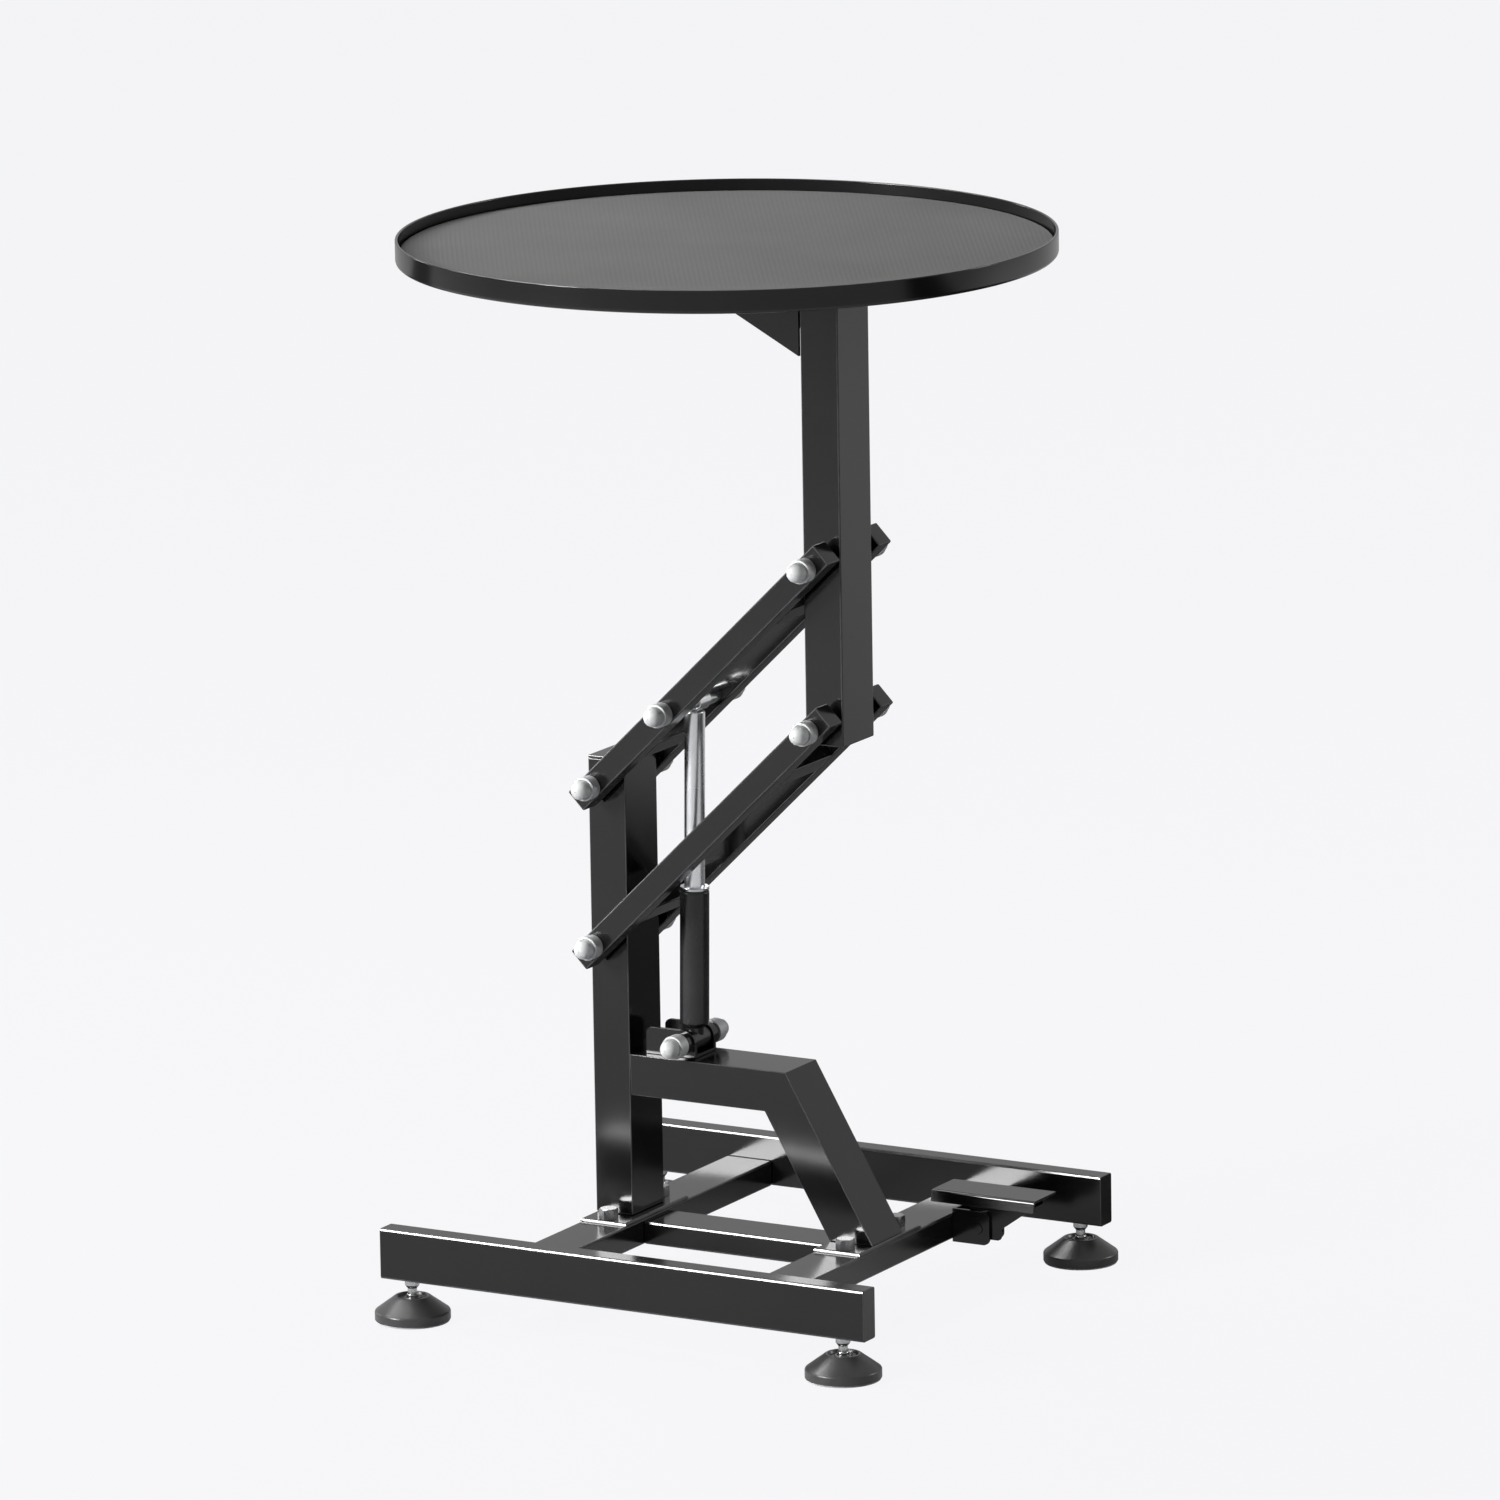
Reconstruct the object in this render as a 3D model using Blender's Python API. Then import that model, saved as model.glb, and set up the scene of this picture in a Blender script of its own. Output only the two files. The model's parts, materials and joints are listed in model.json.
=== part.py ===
"""Grooming table with a round tray on a parallel lift linkage and a gas spring.

Metres, +Z up. The origin is on the floor, under the centre of the round tray.
+X runs along the two floor rails, and the pedal is on the +Y side.
"""
import math

import bmesh
import bpy
from mathutils import Matrix, Vector

# Clearances
GAP = 0.0003              # between two pieces that are welded, screwed or set together
RUN = 0.00005             # around a pin that turns in its bore
SIDE_PLAY = 0.0005        # beside a piece that turns between two others

# Floor frame
RAIL_LENGTH = 0.5216
RAIL_WIDTH = 0.0225
RAIL_HEIGHT = 0.0491
FRAME_WIDTH = 0.4914      # over the outer faces of the two rails
FRAME_MIDDLE_X = 0.0063   # the rails' middle, ahead of the tray's centre
FRAME_WALL = 0.002
CORNER = 0.0016           # outer corner radius of the square tubes
CROSS_WIDTH = 0.050
CROSS_HEIGHT = 0.025
CROSS_REAR_X = -0.119
CROSS_FRONT_X = 0.1355
SPINE_WIDTH = 0.050
SPINE_HEIGHT = 0.0225

# Plates on the cross members and their bolts
PLATE_THICKNESS = 0.003
PLATE_LENGTH = 0.120
PLATE_BOLT_SPACING = 0.098
PLATE_BOLT_HEX = 0.016    # across the flats
PLATE_BOLT_HEAD = 0.0100
PLATE_BOLT_CHAMFER = 0.0014  # beyond the corners, where the chamfer starts
PLATE_BOLT_CHAMFER_DROP = 0.0022
PLATE_EDGE = 0.0004
FRONT_BOLT_SHIFT = 0.0035

# Column, mast and strut
POST_DEPTH = 0.040        # along X
POST_WIDTH = 0.060        # along Y
POST_WALL = 0.0025
COLUMN_SETBACK = 0.0045   # the column's centre behind the rear cross member's centre
COLUMN_HEIGHT = 0.4459    # from the plate to the top of the cap
CAP_THICKNESS = 0.003
CAP_BEVEL = 0.00105
MAST_LENGTH = 0.4517
STRUT_HEIGHT = 0.040
STRUT_TOP_HEIGHT = 0.1585  # the strut's top above the plates
STRUT_ANGLE = math.radians(60)
STRUT_SETBACK = 0.0008    # the strut's foot behind the front cross member's centre

# Lift linkage
ARM_LENGTH = 0.330        # pivot to pivot
ARM_ANGLE = math.radians(44.05)
ARM_SPACING = 0.1545      # upper pivot above lower pivot
ARM_TUBE = 0.0235
ARM_WALL = 0.002
ARM_OVERHANG = 0.0225     # the tube's end beyond its pivot
ARM_STANDOFF = 0.0078     # between the post's side and the arm tube
PIVOT_DROP = 0.0232       # the upper pivot below the column's top
MAST_TAIL = 0.0195        # the mast's end below its lower pivot
TOP_TIE_SETBACK = 0.064   # the tie near the mast, back from its pivot, on either arm
UPPER_TIE_STATION = 0.06325
LOWER_TIE_STATION = 0.05575
SLEEVE_RADIUS = 0.009
PIN_RADIUS = 0.005

# Screwed dome caps on the pivot bolts
CAP_COLLAR_RADIUS = 0.0123
CAP_COLLAR_LENGTH = 0.0130
CAP_RIM = 0.0010
CAP_DOME_RADIUS = 0.0097
CAP_DOME_RISE = 0.0056    # the dome's centre beyond the collar
CAP_GRIP = 0.009          # how far the bolt screws into its nut

# Gas spring and its clevis
GAS_PIVOT_X = 0.074       # in front of the column's centre
GAS_PIVOT_HEIGHT = 0.014  # above the strut
GAS_ARM_STATION = 0.112   # along the upper arm
CYLINDER_RADIUS = 0.014
CYLINDER_LENGTH = 0.1495  # from its pivot to its mouth
CYLINDER_FLOOR = 0.026    # from its pivot to the bottom of its bore
CYLINDER_SHOULDER = 0.0035
CYLINDER_NECK = 0.009     # radius of the neck between the body and the lower eye
ROD_RADIUS = 0.0098
ROD_START = 0.1035        # the rod's lower end, from the cylinder's pivot
ROD_TIP = 0.001
EYE_RADIUS = 0.0135
EYE_HALF_WIDTH = 0.015
EYE_PLAY = 0.0029         # slack of the upper bolt in the rod's eye
EYE_SHIFT_ACROSS = 0.00226  # the eye's centre from the bolt's, in the rod's own frame
EYE_SHIFT_ALONG = 0.00174
EYE_NECK = 0.025          # the neck's lower end below the eye's centre
EYE_NECK_RADIUS = 0.0125
SPACER_RADIUS = 0.008
LOWER_EYE_RADIUS = 0.0100
CLEVIS_WIDTH = 0.040
CLEVIS_EAR = 0.004
CLEVIS_BASE = 0.003
CLEVIS_NOSE = 0.012       # round nose of the ears about the pin
CLEVIS_BACK = 0.0415      # the clevis's back edge behind the pin
CLEVIS_CORNER = 0.006
BOSS_RADIUS = 0.010
BOSS_LENGTH = 0.010

# Gusset plates under the tray
GUSSET_THICKNESS = 0.004
GUSSET_GAP = 0.0017       # between the gusset's edge and the mast
GUSSET_DEPTH = 0.083      # its tip below the tray
GUSSET_ANGLE = math.radians(27.83)  # of the sloping edge, under the tray

# Tray and mat
TRAY_RADIUS = 0.310
TRAY_HEIGHT = 0.022
TRAY_WALL = 0.0028
TRAY_FLOOR = 0.0025
TRAY_EDGE = 0.0035        # rounding of the lower edge
TRAY_LIP = 0.0007         # rounding of the rim
MAT_THICKNESS = 0.0082
MAT_MARGIN = 0.0015       # between the mat and the tray's wall
MAT_EDGE = 0.0010

# Levelling feet
FOOT_INSET = 0.0281       # from the rail's end
PAD_RADIUS = 0.036
PAD_RIM = 0.0095
PAD_HEIGHT = 0.0242
PAD_TOP_RADIUS = 0.0155
PAD_DISH_RADIUS = 0.0125
PAD_DISH_DEPTH = 0.0030
PAD_SOCKET_DEPTH = 0.010
PAD_SHOULDER = 0.0011     # rounding between the rim and the cone
STUD_RADIUS = 0.00425
STUD_BASE_RADIUS = 0.0053
STUD_BASE_HEIGHT = 0.0045
STUD_SHOWING = 0.0098     # from the pad's top to the collar nut
COLLAR_RADIUS = 0.0072
COLLAR_HEIGHT = 0.0052
STUD_IN_RAIL = 0.020

# Pedal
PEDAL_LENGTH = 0.111
PEDAL_WIDTH = 0.0446
PEDAL_SHEET = 0.0025
PEDAL_FLANGE = 0.0115
PEDAL_BEND = 0.0030
PEDAL_NEAR_Y = 0.1184
PEDAL_REACH_BACK = 0.0205  # the pad's rear edge behind the cross member's front face
PEDAL_RISE = 0.0225       # the pad's top above the cross member's top
PEDAL_PIN_REACH = 0.0275  # the pin in front of the cross member's front face
PEDAL_PIN_DROP = 0.0340   # the pin below the pad's top
PEDAL_PIN_RADIUS = 0.004
PEDAL_PIN_HEAD_RADIUS = 0.0055
PEDAL_PIN_HEAD = 0.0012
EAR_SHEET = 0.003
EAR_REACH = 0.0400        # the ears' length from the cross member's face
EAR_DROP = 0.0023         # the bracket's lower edge below the cross member
EAR_TOP_BELOW_PAD = 0.0170
EAR_CORNER = 0.0065
BRACKET_WIDTH = 0.031
WEB_REAR = 0.010          # the lever web's rear edge behind the pin
WEB_DROP = 0.0105         # the web's lower edge below the pin
WEB_HEEL = 0.0235         # the heel's front edge in front of the pin
WEB_HEEL_TOP = 0.0007     # the heel's upper end above the pin
WEB_TOE = 0.0580          # the toe in front of the pin
WEB_TOE_DROP = 0.0065     # the toe below the pad's sheet
WEB_CORNER = 0.0040
SPRING_WIRE = 0.0009      # wire radius of the return spring
SPRING_RADIUS = 0.0058
SPRING_TURNS = 4
SPRING_LEG = 0.015

# Facets
PIN_SIDES = 14
PAD_SIDES = 24
TRAY_SIDES = 72
DOME_STEPS = 3
SPRING_STEPS = 10

# Heights of the floor frame
FRAME_BOTTOM = PAD_HEIGHT + STUD_SHOWING + COLLAR_HEIGHT + GAP
CROSS_TOP = FRAME_BOTTOM + CROSS_HEIGHT
PLATE_BOTTOM = CROSS_TOP + GAP
PLATE_TOP = PLATE_BOTTOM + PLATE_THICKNESS
RAIL_Y = (FRAME_WIDTH - RAIL_WIDTH) / 2
RAIL_INNER_Y = RAIL_Y - RAIL_WIDTH / 2

# Places of the pivots
COLUMN_X = CROSS_REAR_X - COLUMN_SETBACK
COLUMN_TOP = PLATE_TOP + GAP + COLUMN_HEIGHT
UPPER_PIVOT_Z = COLUMN_TOP - PIVOT_DROP
LOWER_PIVOT_Z = UPPER_PIVOT_Z - ARM_SPACING
MAST_X = COLUMN_X + ARM_LENGTH * math.cos(ARM_ANGLE)
ARM_RISE = ARM_LENGTH * math.sin(ARM_ANGLE)
MAST_UPPER_Z = UPPER_PIVOT_Z + ARM_RISE
MAST_LOWER_Z = LOWER_PIVOT_Z + ARM_RISE
MAST_BOTTOM = MAST_LOWER_Z - MAST_TAIL
TRAY_BOTTOM = MAST_BOTTOM + MAST_LENGTH + GAP
ARM_INNER_Y = POST_WIDTH / 2 + ARM_STANDOFF
ARM_Y = ARM_INNER_Y + ARM_TUBE / 2
ARM_SEAT_Y = ARM_INNER_Y + ARM_TUBE
TOP_TIE_STATION = ARM_LENGTH - TOP_TIE_SETBACK

# Strut and gas spring
COLUMN_FACE_X = COLUMN_X + POST_DEPTH / 2
STRUT_TOP = PLATE_TOP + STRUT_TOP_HEIGHT
STRUT_FOOT_X = CROSS_FRONT_X - STRUT_SETBACK
STRUT_FOOT_Z = PLATE_TOP + GAP
GAS_X = COLUMN_X + GAS_PIVOT_X
GAS_Z = STRUT_TOP + GAP + GAS_PIVOT_HEIGHT
GAS_TOP_X = COLUMN_X + GAS_ARM_STATION * math.cos(ARM_ANGLE)
GAS_TOP_Z = UPPER_PIVOT_Z + GAS_ARM_STATION * math.sin(ARM_ANGLE)
GAS_LENGTH = math.hypot(GAS_TOP_X - GAS_X, GAS_TOP_Z - GAS_Z)
GAS_TILT = math.atan2(GAS_TOP_X - GAS_X, GAS_TOP_Z - GAS_Z)
EYE_ALONG = GAS_LENGTH + EYE_SHIFT_ALONG
CLEVIS_SEAT_Y = CLEVIS_WIDTH / 2 + BOSS_LENGTH

# Pedal
CROSS_FACE_X = CROSS_FRONT_X + CROSS_WIDTH / 2
PEDAL_TOP = CROSS_TOP + PEDAL_RISE
PEDAL_PIN_X = CROSS_FACE_X + PEDAL_PIN_REACH
PEDAL_PIN_Z = PEDAL_TOP - PEDAL_PIN_DROP
BRACKET_NEAR_Y = PEDAL_NEAR_Y + PEDAL_SHEET + SIDE_PLAY
BRACKET_FAR_Y = BRACKET_NEAR_Y + BRACKET_WIDTH

# Finishes: colour, roughness, metallic
BLACK_COAT = ((0.022, 0.022, 0.024), 0.38, 0.0)
CAST_BLACK = ((0.030, 0.030, 0.032), 0.45, 0.0)
CHROME = ((0.80, 0.80, 0.81), 0.12, 1.0)
ZINC = ((0.62, 0.63, 0.64), 0.28, 1.0)
LIGHT_CAP = ((0.62, 0.63, 0.63), 0.50, 0.0)
PAD_PLASTIC = ((0.045, 0.045, 0.048), 0.42, 0.0)
MAT_RUBBER = ((0.16, 0.16, 0.165), 0.75, 0.0)


def facet_bore(radius, clearance):
    """Radius of a faceted bore that leaves the clearance at the middle of its facets."""
    return (radius + clearance) / math.cos(math.pi / PIN_SIDES)


def arc(centre_a, centre_b, radius, start, end, steps):
    """Points on a circle from one angle to another, in degrees."""
    points = []
    for step in range(steps + 1):
        angle = math.radians(start + (end - start) * step / steps)
        points.append((centre_a + radius * math.cos(angle), centre_b + radius * math.sin(angle)))
    return points


def extruded(outline, low, high, axis):
    """A prism: a closed outline extruded along X (outline in YZ), Y (XZ) or Z (XY)."""
    spot = {"X": lambda a, b: (low, a, b), "Y": lambda a, b: (a, low, b), "Z": lambda a, b: (a, b, low)}[axis]
    way = {"X": Vector((1, 0, 0)), "Y": Vector((0, 1, 0)), "Z": Vector((0, 0, 1))}[axis]
    bm = bmesh.new()
    face = bm.faces.new([bm.verts.new(spot(a, b)) for a, b in outline])
    sweep = bmesh.ops.extrude_face_region(bm, geom=[face])
    moved = [item for item in sweep["geom"] if isinstance(item, bmesh.types.BMVert)]
    bmesh.ops.translate(bm, verts=moved, vec=way * (high - low))
    bmesh.ops.recalc_face_normals(bm, faces=bm.faces)
    return bm


def block(x_low, x_high, y_low, y_high, z_low, z_high):
    """A box between two corners."""
    outline = [(x_low, y_low), (x_high, y_low), (x_high, y_high), (x_low, y_high)]
    return extruded(outline, z_low, z_high, "Z")


def turned(outline, sides):
    """Turn an outline of (radius, height) points about Z into a closed solid.

    An outline that starts and ends on the axis stays open there; any other is closed into a ring.
    """
    bm = bmesh.new()
    points = [bm.verts.new((radius, 0, height)) for radius, height in outline]
    edges = [bm.edges.new(pair) for pair in zip(points, points[1:])]
    if outline[0][0] > 0:
        edges.append(bm.edges.new((points[-1], points[0])))
    bmesh.ops.spin(bm, geom=points + edges, cent=(0, 0, 0), axis=(0, 0, 1),
                   angle=math.tau, steps=sides, use_merge=True)
    bmesh.ops.remove_doubles(bm, verts=bm.verts, dist=1e-6)
    bmesh.ops.recalc_face_normals(bm, faces=bm.faces)
    return bm


def rods(centres, radius, low, high, sides=PIN_SIDES):
    """Round rods along Y at the (x, z) centres, as one mesh."""
    bm = bmesh.new()
    for x, z in centres:
        made = bmesh.ops.create_cone(bm, cap_ends=True, segments=sides, radius1=radius,
                                     radius2=radius, depth=high - low)
        turn = Matrix.Rotation(math.pi / 2, 4, "X")
        shift = Matrix.Translation((x, (low + high) / 2, z))
        bmesh.ops.transform(bm, matrix=shift @ turn, verts=made["verts"])
    bmesh.ops.recalc_face_normals(bm, faces=bm.faces)
    return bm


def add_object(name, bm, place=(0, 0, 0), parent=None):
    """Put a bmesh into the scene as an object at a place, or under an empty."""
    mesh = bpy.data.meshes.new(name)
    bm.to_mesh(mesh)
    bm.free()
    mesh.shade_smooth()
    mesh.set_sharp_from_angle(angle=math.radians(32))
    shape = bpy.data.objects.new(name, mesh)
    shape.location = place
    shape.parent = parent
    bpy.context.scene.collection.objects.link(shape)
    return shape


def coat(shape, finish):
    """Give an object its own Principled material."""
    colour, roughness, metallic = finish
    material = bpy.data.materials.new(shape.name + "_finish")
    material.use_nodes = True
    shader = material.node_tree.nodes["Principled BSDF"]
    shader.inputs["Base Color"].default_value = (*colour, 1.0)
    shader.inputs["Roughness"].default_value = roughness
    shader.inputs["Metallic"].default_value = metallic
    shape.data.materials.clear()
    shape.data.materials.append(material)


def combine(target, operation, name, bm):
    """Join, cut or intersect an object with a hidden shape in the same frame."""
    tool = add_object(f"{target.name}_{name}", bm, target.location, target.parent)
    tool.hide_render = True
    tool.display_type = "WIRE"
    modifier = target.modifiers.new(name, "BOOLEAN")
    modifier.operation = operation
    modifier.solver = "EXACT"
    modifier.object = tool


def soften(shape, width, segments=2, angle=40):
    """Round the edges that turn by more than an angle."""
    bevel = shape.modifiers.new("rounded_edges", "BEVEL")
    bevel.width = width
    bevel.segments = segments
    bevel.limit_method = "ANGLE"
    bevel.angle_limit = math.radians(angle)


def add_pivot(name, x, y, z, turn_about_y=0.0):
    """An empty on a joint's axis, for the pieces that move with it."""
    pivot = bpy.data.objects.new(name, None)
    pivot.location = (x, y, z)
    pivot.rotation_euler = (0, turn_about_y, 0)
    bpy.context.scene.collection.objects.link(pivot)
    return pivot


def build_rail(name, side):
    """Closed box tube on the floor side, with a hole for each foot's stud in its underside."""
    half = RAIL_LENGTH / 2
    wall = FRAME_WALL
    rail = add_object(name, block(-half, half, -RAIL_WIDTH / 2, RAIL_WIDTH / 2, 0, RAIL_HEIGHT),
                      (FRAME_MIDDLE_X, side * RAIL_Y, FRAME_BOTTOM))
    soften(rail, CORNER)
    combine(rail, "DIFFERENCE", "hollow",
            block(wall - half, half - wall, wall - RAIL_WIDTH / 2, RAIL_WIDTH / 2 - wall,
                  wall, RAIL_HEIGHT - wall))
    holes = bmesh.new()
    for end in (-1, 1):
        made = bmesh.ops.create_cone(holes, cap_ends=True, segments=PIN_SIDES, depth=4 * wall,
                                     radius1=facet_bore(STUD_RADIUS, GAP),
                                     radius2=facet_bore(STUD_RADIUS, GAP))
        bmesh.ops.translate(holes, verts=made["verts"], vec=(end * (half - FOOT_INSET), 0, 0))
    combine(rail, "DIFFERENCE", "stud_holes", holes)
    coat(rail, BLACK_COAT)


def build_cross_member(name, x):
    """Flat box tube between the rails, flush with their undersides and open at its welded ends."""
    reach = RAIL_INNER_Y - GAP
    member = add_object(name, block(-CROSS_WIDTH / 2, CROSS_WIDTH / 2, -reach, reach, 0, CROSS_HEIGHT),
                        (x, 0, FRAME_BOTTOM))
    soften(member, CORNER)
    inner = CROSS_WIDTH / 2 - FRAME_WALL
    combine(member, "DIFFERENCE", "hollow",
            block(-inner, inner, -2 * reach, 2 * reach, FRAME_WALL, CROSS_HEIGHT - FRAME_WALL))
    coat(member, BLACK_COAT)


def build_spine():
    """Flat box tube along X between the two cross members."""
    start = CROSS_REAR_X + CROSS_WIDTH / 2 + GAP
    end = CROSS_FRONT_X - CROSS_WIDTH / 2 - GAP
    half = SPINE_WIDTH / 2
    spine = add_object("spine", block(start, end, -half, half, 0, SPINE_HEIGHT), (0, 0, FRAME_BOTTOM))
    soften(spine, CORNER)
    combine(spine, "DIFFERENCE", "hollow",
            block(2 * start, 2 * end, FRAME_WALL - half, half - FRAME_WALL,
                  FRAME_WALL, SPINE_HEIGHT - FRAME_WALL))
    coat(spine, BLACK_COAT)


def build_plate(name, x):
    """Flat plate that carries the column or the strut on a cross member."""
    plate = add_object(name, block(-CROSS_WIDTH / 2, CROSS_WIDTH / 2, -PLATE_LENGTH / 2,
                                   PLATE_LENGTH / 2, 0, PLATE_THICKNESS), (x, 0, PLATE_BOTTOM))
    soften(plate, PLATE_EDGE, 1)
    coat(plate, BLACK_COAT)


def build_plate_bolt(name, x, y):
    """Hexagon head with a chamfered top, on the plate."""
    corner = PLATE_BOLT_HEX / 2 / math.cos(math.pi / 6)
    head = bmesh.new()
    bmesh.ops.create_cone(head, cap_ends=True, segments=6, radius1=corner, radius2=corner,
                          depth=PLATE_BOLT_HEAD)
    bmesh.ops.translate(head, verts=head.verts, vec=(0, 0, PLATE_BOLT_HEAD / 2))
    bolt = add_object(name, head, (x, y, PLATE_TOP + GAP))
    reach = corner + PLATE_BOLT_CHAMFER
    top = [(0, -PLATE_BOLT_HEAD), (reach, -PLATE_BOLT_HEAD),
           (reach, PLATE_BOLT_HEAD - PLATE_BOLT_CHAMFER_DROP), (PLATE_BOLT_HEX / 2, PLATE_BOLT_HEAD),
           (0, PLATE_BOLT_HEAD)]
    combine(bolt, "INTERSECT", "chamfer", turned(top, PIN_SIDES))
    coat(bolt, ZINC)


def build_post(name, x, bottom, height, floor, pivots):
    """Upright box tube with welded pivot sleeves that stand out to the arm tubes.

    The tube is open at the top. Its bottom is open too, or has a floor of the given thickness.
    """
    half_x = POST_DEPTH / 2
    half_y = POST_WIDTH / 2
    sleeve_end = ARM_INNER_Y - GAP
    post = add_object(name, block(-half_x, half_x, -half_y, half_y, 0, height), (x, 0, bottom))
    soften(post, CORNER)
    inner_bottom = floor if floor > 0 else -height
    combine(post, "DIFFERENCE", "hollow",
            block(POST_WALL - half_x, half_x - POST_WALL, POST_WALL - half_y, half_y - POST_WALL,
                  inner_bottom, 2 * height))
    centres = [(0, pivot - bottom) for pivot in pivots]
    combine(post, "UNION", "sleeves", rods(centres, SLEEVE_RADIUS, -sleeve_end, sleeve_end))
    combine(post, "DIFFERENCE", "bores",
            rods(centres, facet_bore(PIN_RADIUS, RUN), -2 * sleeve_end, 2 * sleeve_end))
    coat(post, BLACK_COAT)


def build_column_cap():
    """Closing plate on the column, with a bevelled top edge."""
    half_x = POST_DEPTH / 2
    half_y = POST_WIDTH / 2
    cap = add_object("column_cap", block(-half_x, half_x, -half_y, half_y, GAP, CAP_THICKNESS),
                     (COLUMN_X, 0, COLUMN_TOP - CAP_THICKNESS))
    soften(cap, CAP_BEVEL, 1)
    coat(cap, BLACK_COAT)


def strut_outline(inset, overrun):
    """Side view of the knee strut, drawn in by a wall and run past its two ends."""
    top = STRUT_TOP - inset
    bottom = STRUT_TOP - STRUT_HEIGHT + inset
    start = COLUMN_FACE_X + GAP - overrun
    foot = STRUT_FOOT_Z - overrun
    half_foot = (STRUT_HEIGHT / 2 - inset) / math.sin(STRUT_ANGLE)

    def leg_x(height, side):
        return STRUT_FOOT_X + side * half_foot - (height - STRUT_FOOT_Z) / math.tan(STRUT_ANGLE)

    return [(start, bottom), (leg_x(bottom, -1), bottom), (leg_x(foot, -1), foot),
            (leg_x(foot, 1), foot), (leg_x(top, 1), top), (start, top)]


def build_strut():
    """Mitred box tube from the column, level and then down to the front plate."""
    half = POST_WIDTH / 2
    strut = add_object("strut", extruded(strut_outline(0, 0), -half, half, "Y"))
    soften(strut, CORNER, 2, 80)
    combine(strut, "DIFFERENCE", "hollow",
            extruded(strut_outline(POST_WALL, STRUT_HEIGHT), POST_WALL - half, half - POST_WALL, "Y"))
    coat(strut, BLACK_COAT)


def build_clevis():
    """U bracket on the strut, with round bosses where the caps of its bolt seat."""
    base = STRUT_TOP + GAP - GAS_Z
    outer = CLEVIS_WIDTH / 2
    inner = outer - CLEVIS_EAR
    top = CLEVIS_NOSE
    channel = [(-outer, base), (outer, base), (outer, top), (inner, top), (inner, base + CLEVIS_BASE),
               (-inner, base + CLEVIS_BASE), (-inner, top), (-outer, top)]
    clevis = add_object("clevis", extruded(channel, -2 * CLEVIS_BACK, CLEVIS_BACK, "X"),
                        (GAS_X, 0, GAS_Z))
    side = [(-CLEVIS_BACK, 2 * base), (CLEVIS_NOSE, 2 * base)]
    side += arc(0, 0, CLEVIS_NOSE, 0, 90, 6)
    side += arc(CLEVIS_CORNER - CLEVIS_BACK, CLEVIS_NOSE - CLEVIS_CORNER, CLEVIS_CORNER, 90, 180, 4)
    combine(clevis, "INTERSECT", "side_view", extruded(side, -2 * outer, 2 * outer, "Y"))
    bosses = rods([(0, 0)], BOSS_RADIUS, outer - CLEVIS_EAR / 2, CLEVIS_SEAT_Y)
    far = rods([(0, 0)], BOSS_RADIUS, -CLEVIS_SEAT_Y, CLEVIS_EAR / 2 - outer)
    both = bpy.data.meshes.new("boss_pair")
    far.to_mesh(both)
    far.free()
    bosses.from_mesh(both)
    combine(clevis, "UNION", "bosses", bosses)
    combine(clevis, "DIFFERENCE", "bore",
            rods([(0, 0)], facet_bore(PIN_RADIUS, GAP), -2 * outer, 2 * outer))
    coat(clevis, BLACK_COAT)


def dome_cap(start, hole_depth):
    """Outline of a dome cap from its seat outwards, on a shank or with a blind hole."""
    front = GAP + CAP_COLLAR_LENGTH
    centre = front + CAP_DOME_RISE
    points = list(start)
    points += [(CAP_COLLAR_RADIUS, GAP), (CAP_COLLAR_RADIUS, front - CAP_RIM),
               (CAP_COLLAR_RADIUS - CAP_RIM, front), (CAP_DOME_RADIUS, front)]
    points += arc(0, centre, CAP_DOME_RADIUS, 0, 90, DOME_STEPS)[:-1]
    points.append((0, centre + CAP_DOME_RADIUS))
    if hole_depth > 0:
        bore = facet_bore(PIN_RADIUS, GAP)
        points = [(0, hole_depth), (bore, hole_depth), (bore, GAP)] + points
    return points


def build_pivot_bolt(name, seat, x, z, parent=None):
    """Bolt through a pivot along Y: its dome head is on the near side, its nut on the far side."""
    end = -(2 * seat + CAP_GRIP)
    shank = [(0, end), (PIN_RADIUS, end), (PIN_RADIUS, GAP)]
    bolt = add_object(name + "_bolt", turned(dome_cap(shank, 0), PIN_SIDES), (x, -seat, z), parent)
    bolt.rotation_euler = (math.pi / 2, 0, 0)
    coat(bolt, LIGHT_CAP)
    nut = add_object(name + "_nut", turned(dome_cap([], CAP_GRIP + 2 * GAP), PIN_SIDES),
                     (x, seat, z), parent)
    nut.rotation_euler = (-math.pi / 2, 0, 0)
    coat(nut, LIGHT_CAP)


def build_bar(name, side, stations, arm):
    """Square tube of an arm, closed at both ends, with a hole through it at each pivot."""
    start = -ARM_OVERHANG
    end = ARM_LENGTH + ARM_OVERHANG
    half = ARM_TUBE / 2
    wall = ARM_WALL
    bar = add_object(name, block(start, end, -half, half, -half, half), (0, side * ARM_Y, 0), arm)
    soften(bar, CORNER)
    combine(bar, "DIFFERENCE", "hollow",
            block(start + wall, end - wall, wall - half, half - wall, wall - half, half - wall))
    combine(bar, "DIFFERENCE", "holes",
            rods([(station, 0) for station in stations], facet_bore(PIN_RADIUS, GAP), -ARM_TUBE, ARM_TUBE))
    coat(bar, BLACK_COAT)


def build_tie(name, station, arm):
    """Square tube across between the two bars of an arm."""
    half = ARM_TUBE / 2
    reach = ARM_INNER_Y - GAP
    wall = ARM_WALL
    tie = add_object(name, block(-half, half, -reach, reach, -half, half), (station, 0, 0), arm)
    soften(tie, CORNER)
    combine(tie, "DIFFERENCE", "hollow",
            block(wall - half, half - wall, -2 * reach, 2 * reach, wall - half, half - wall))
    coat(tie, BLACK_COAT)


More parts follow.
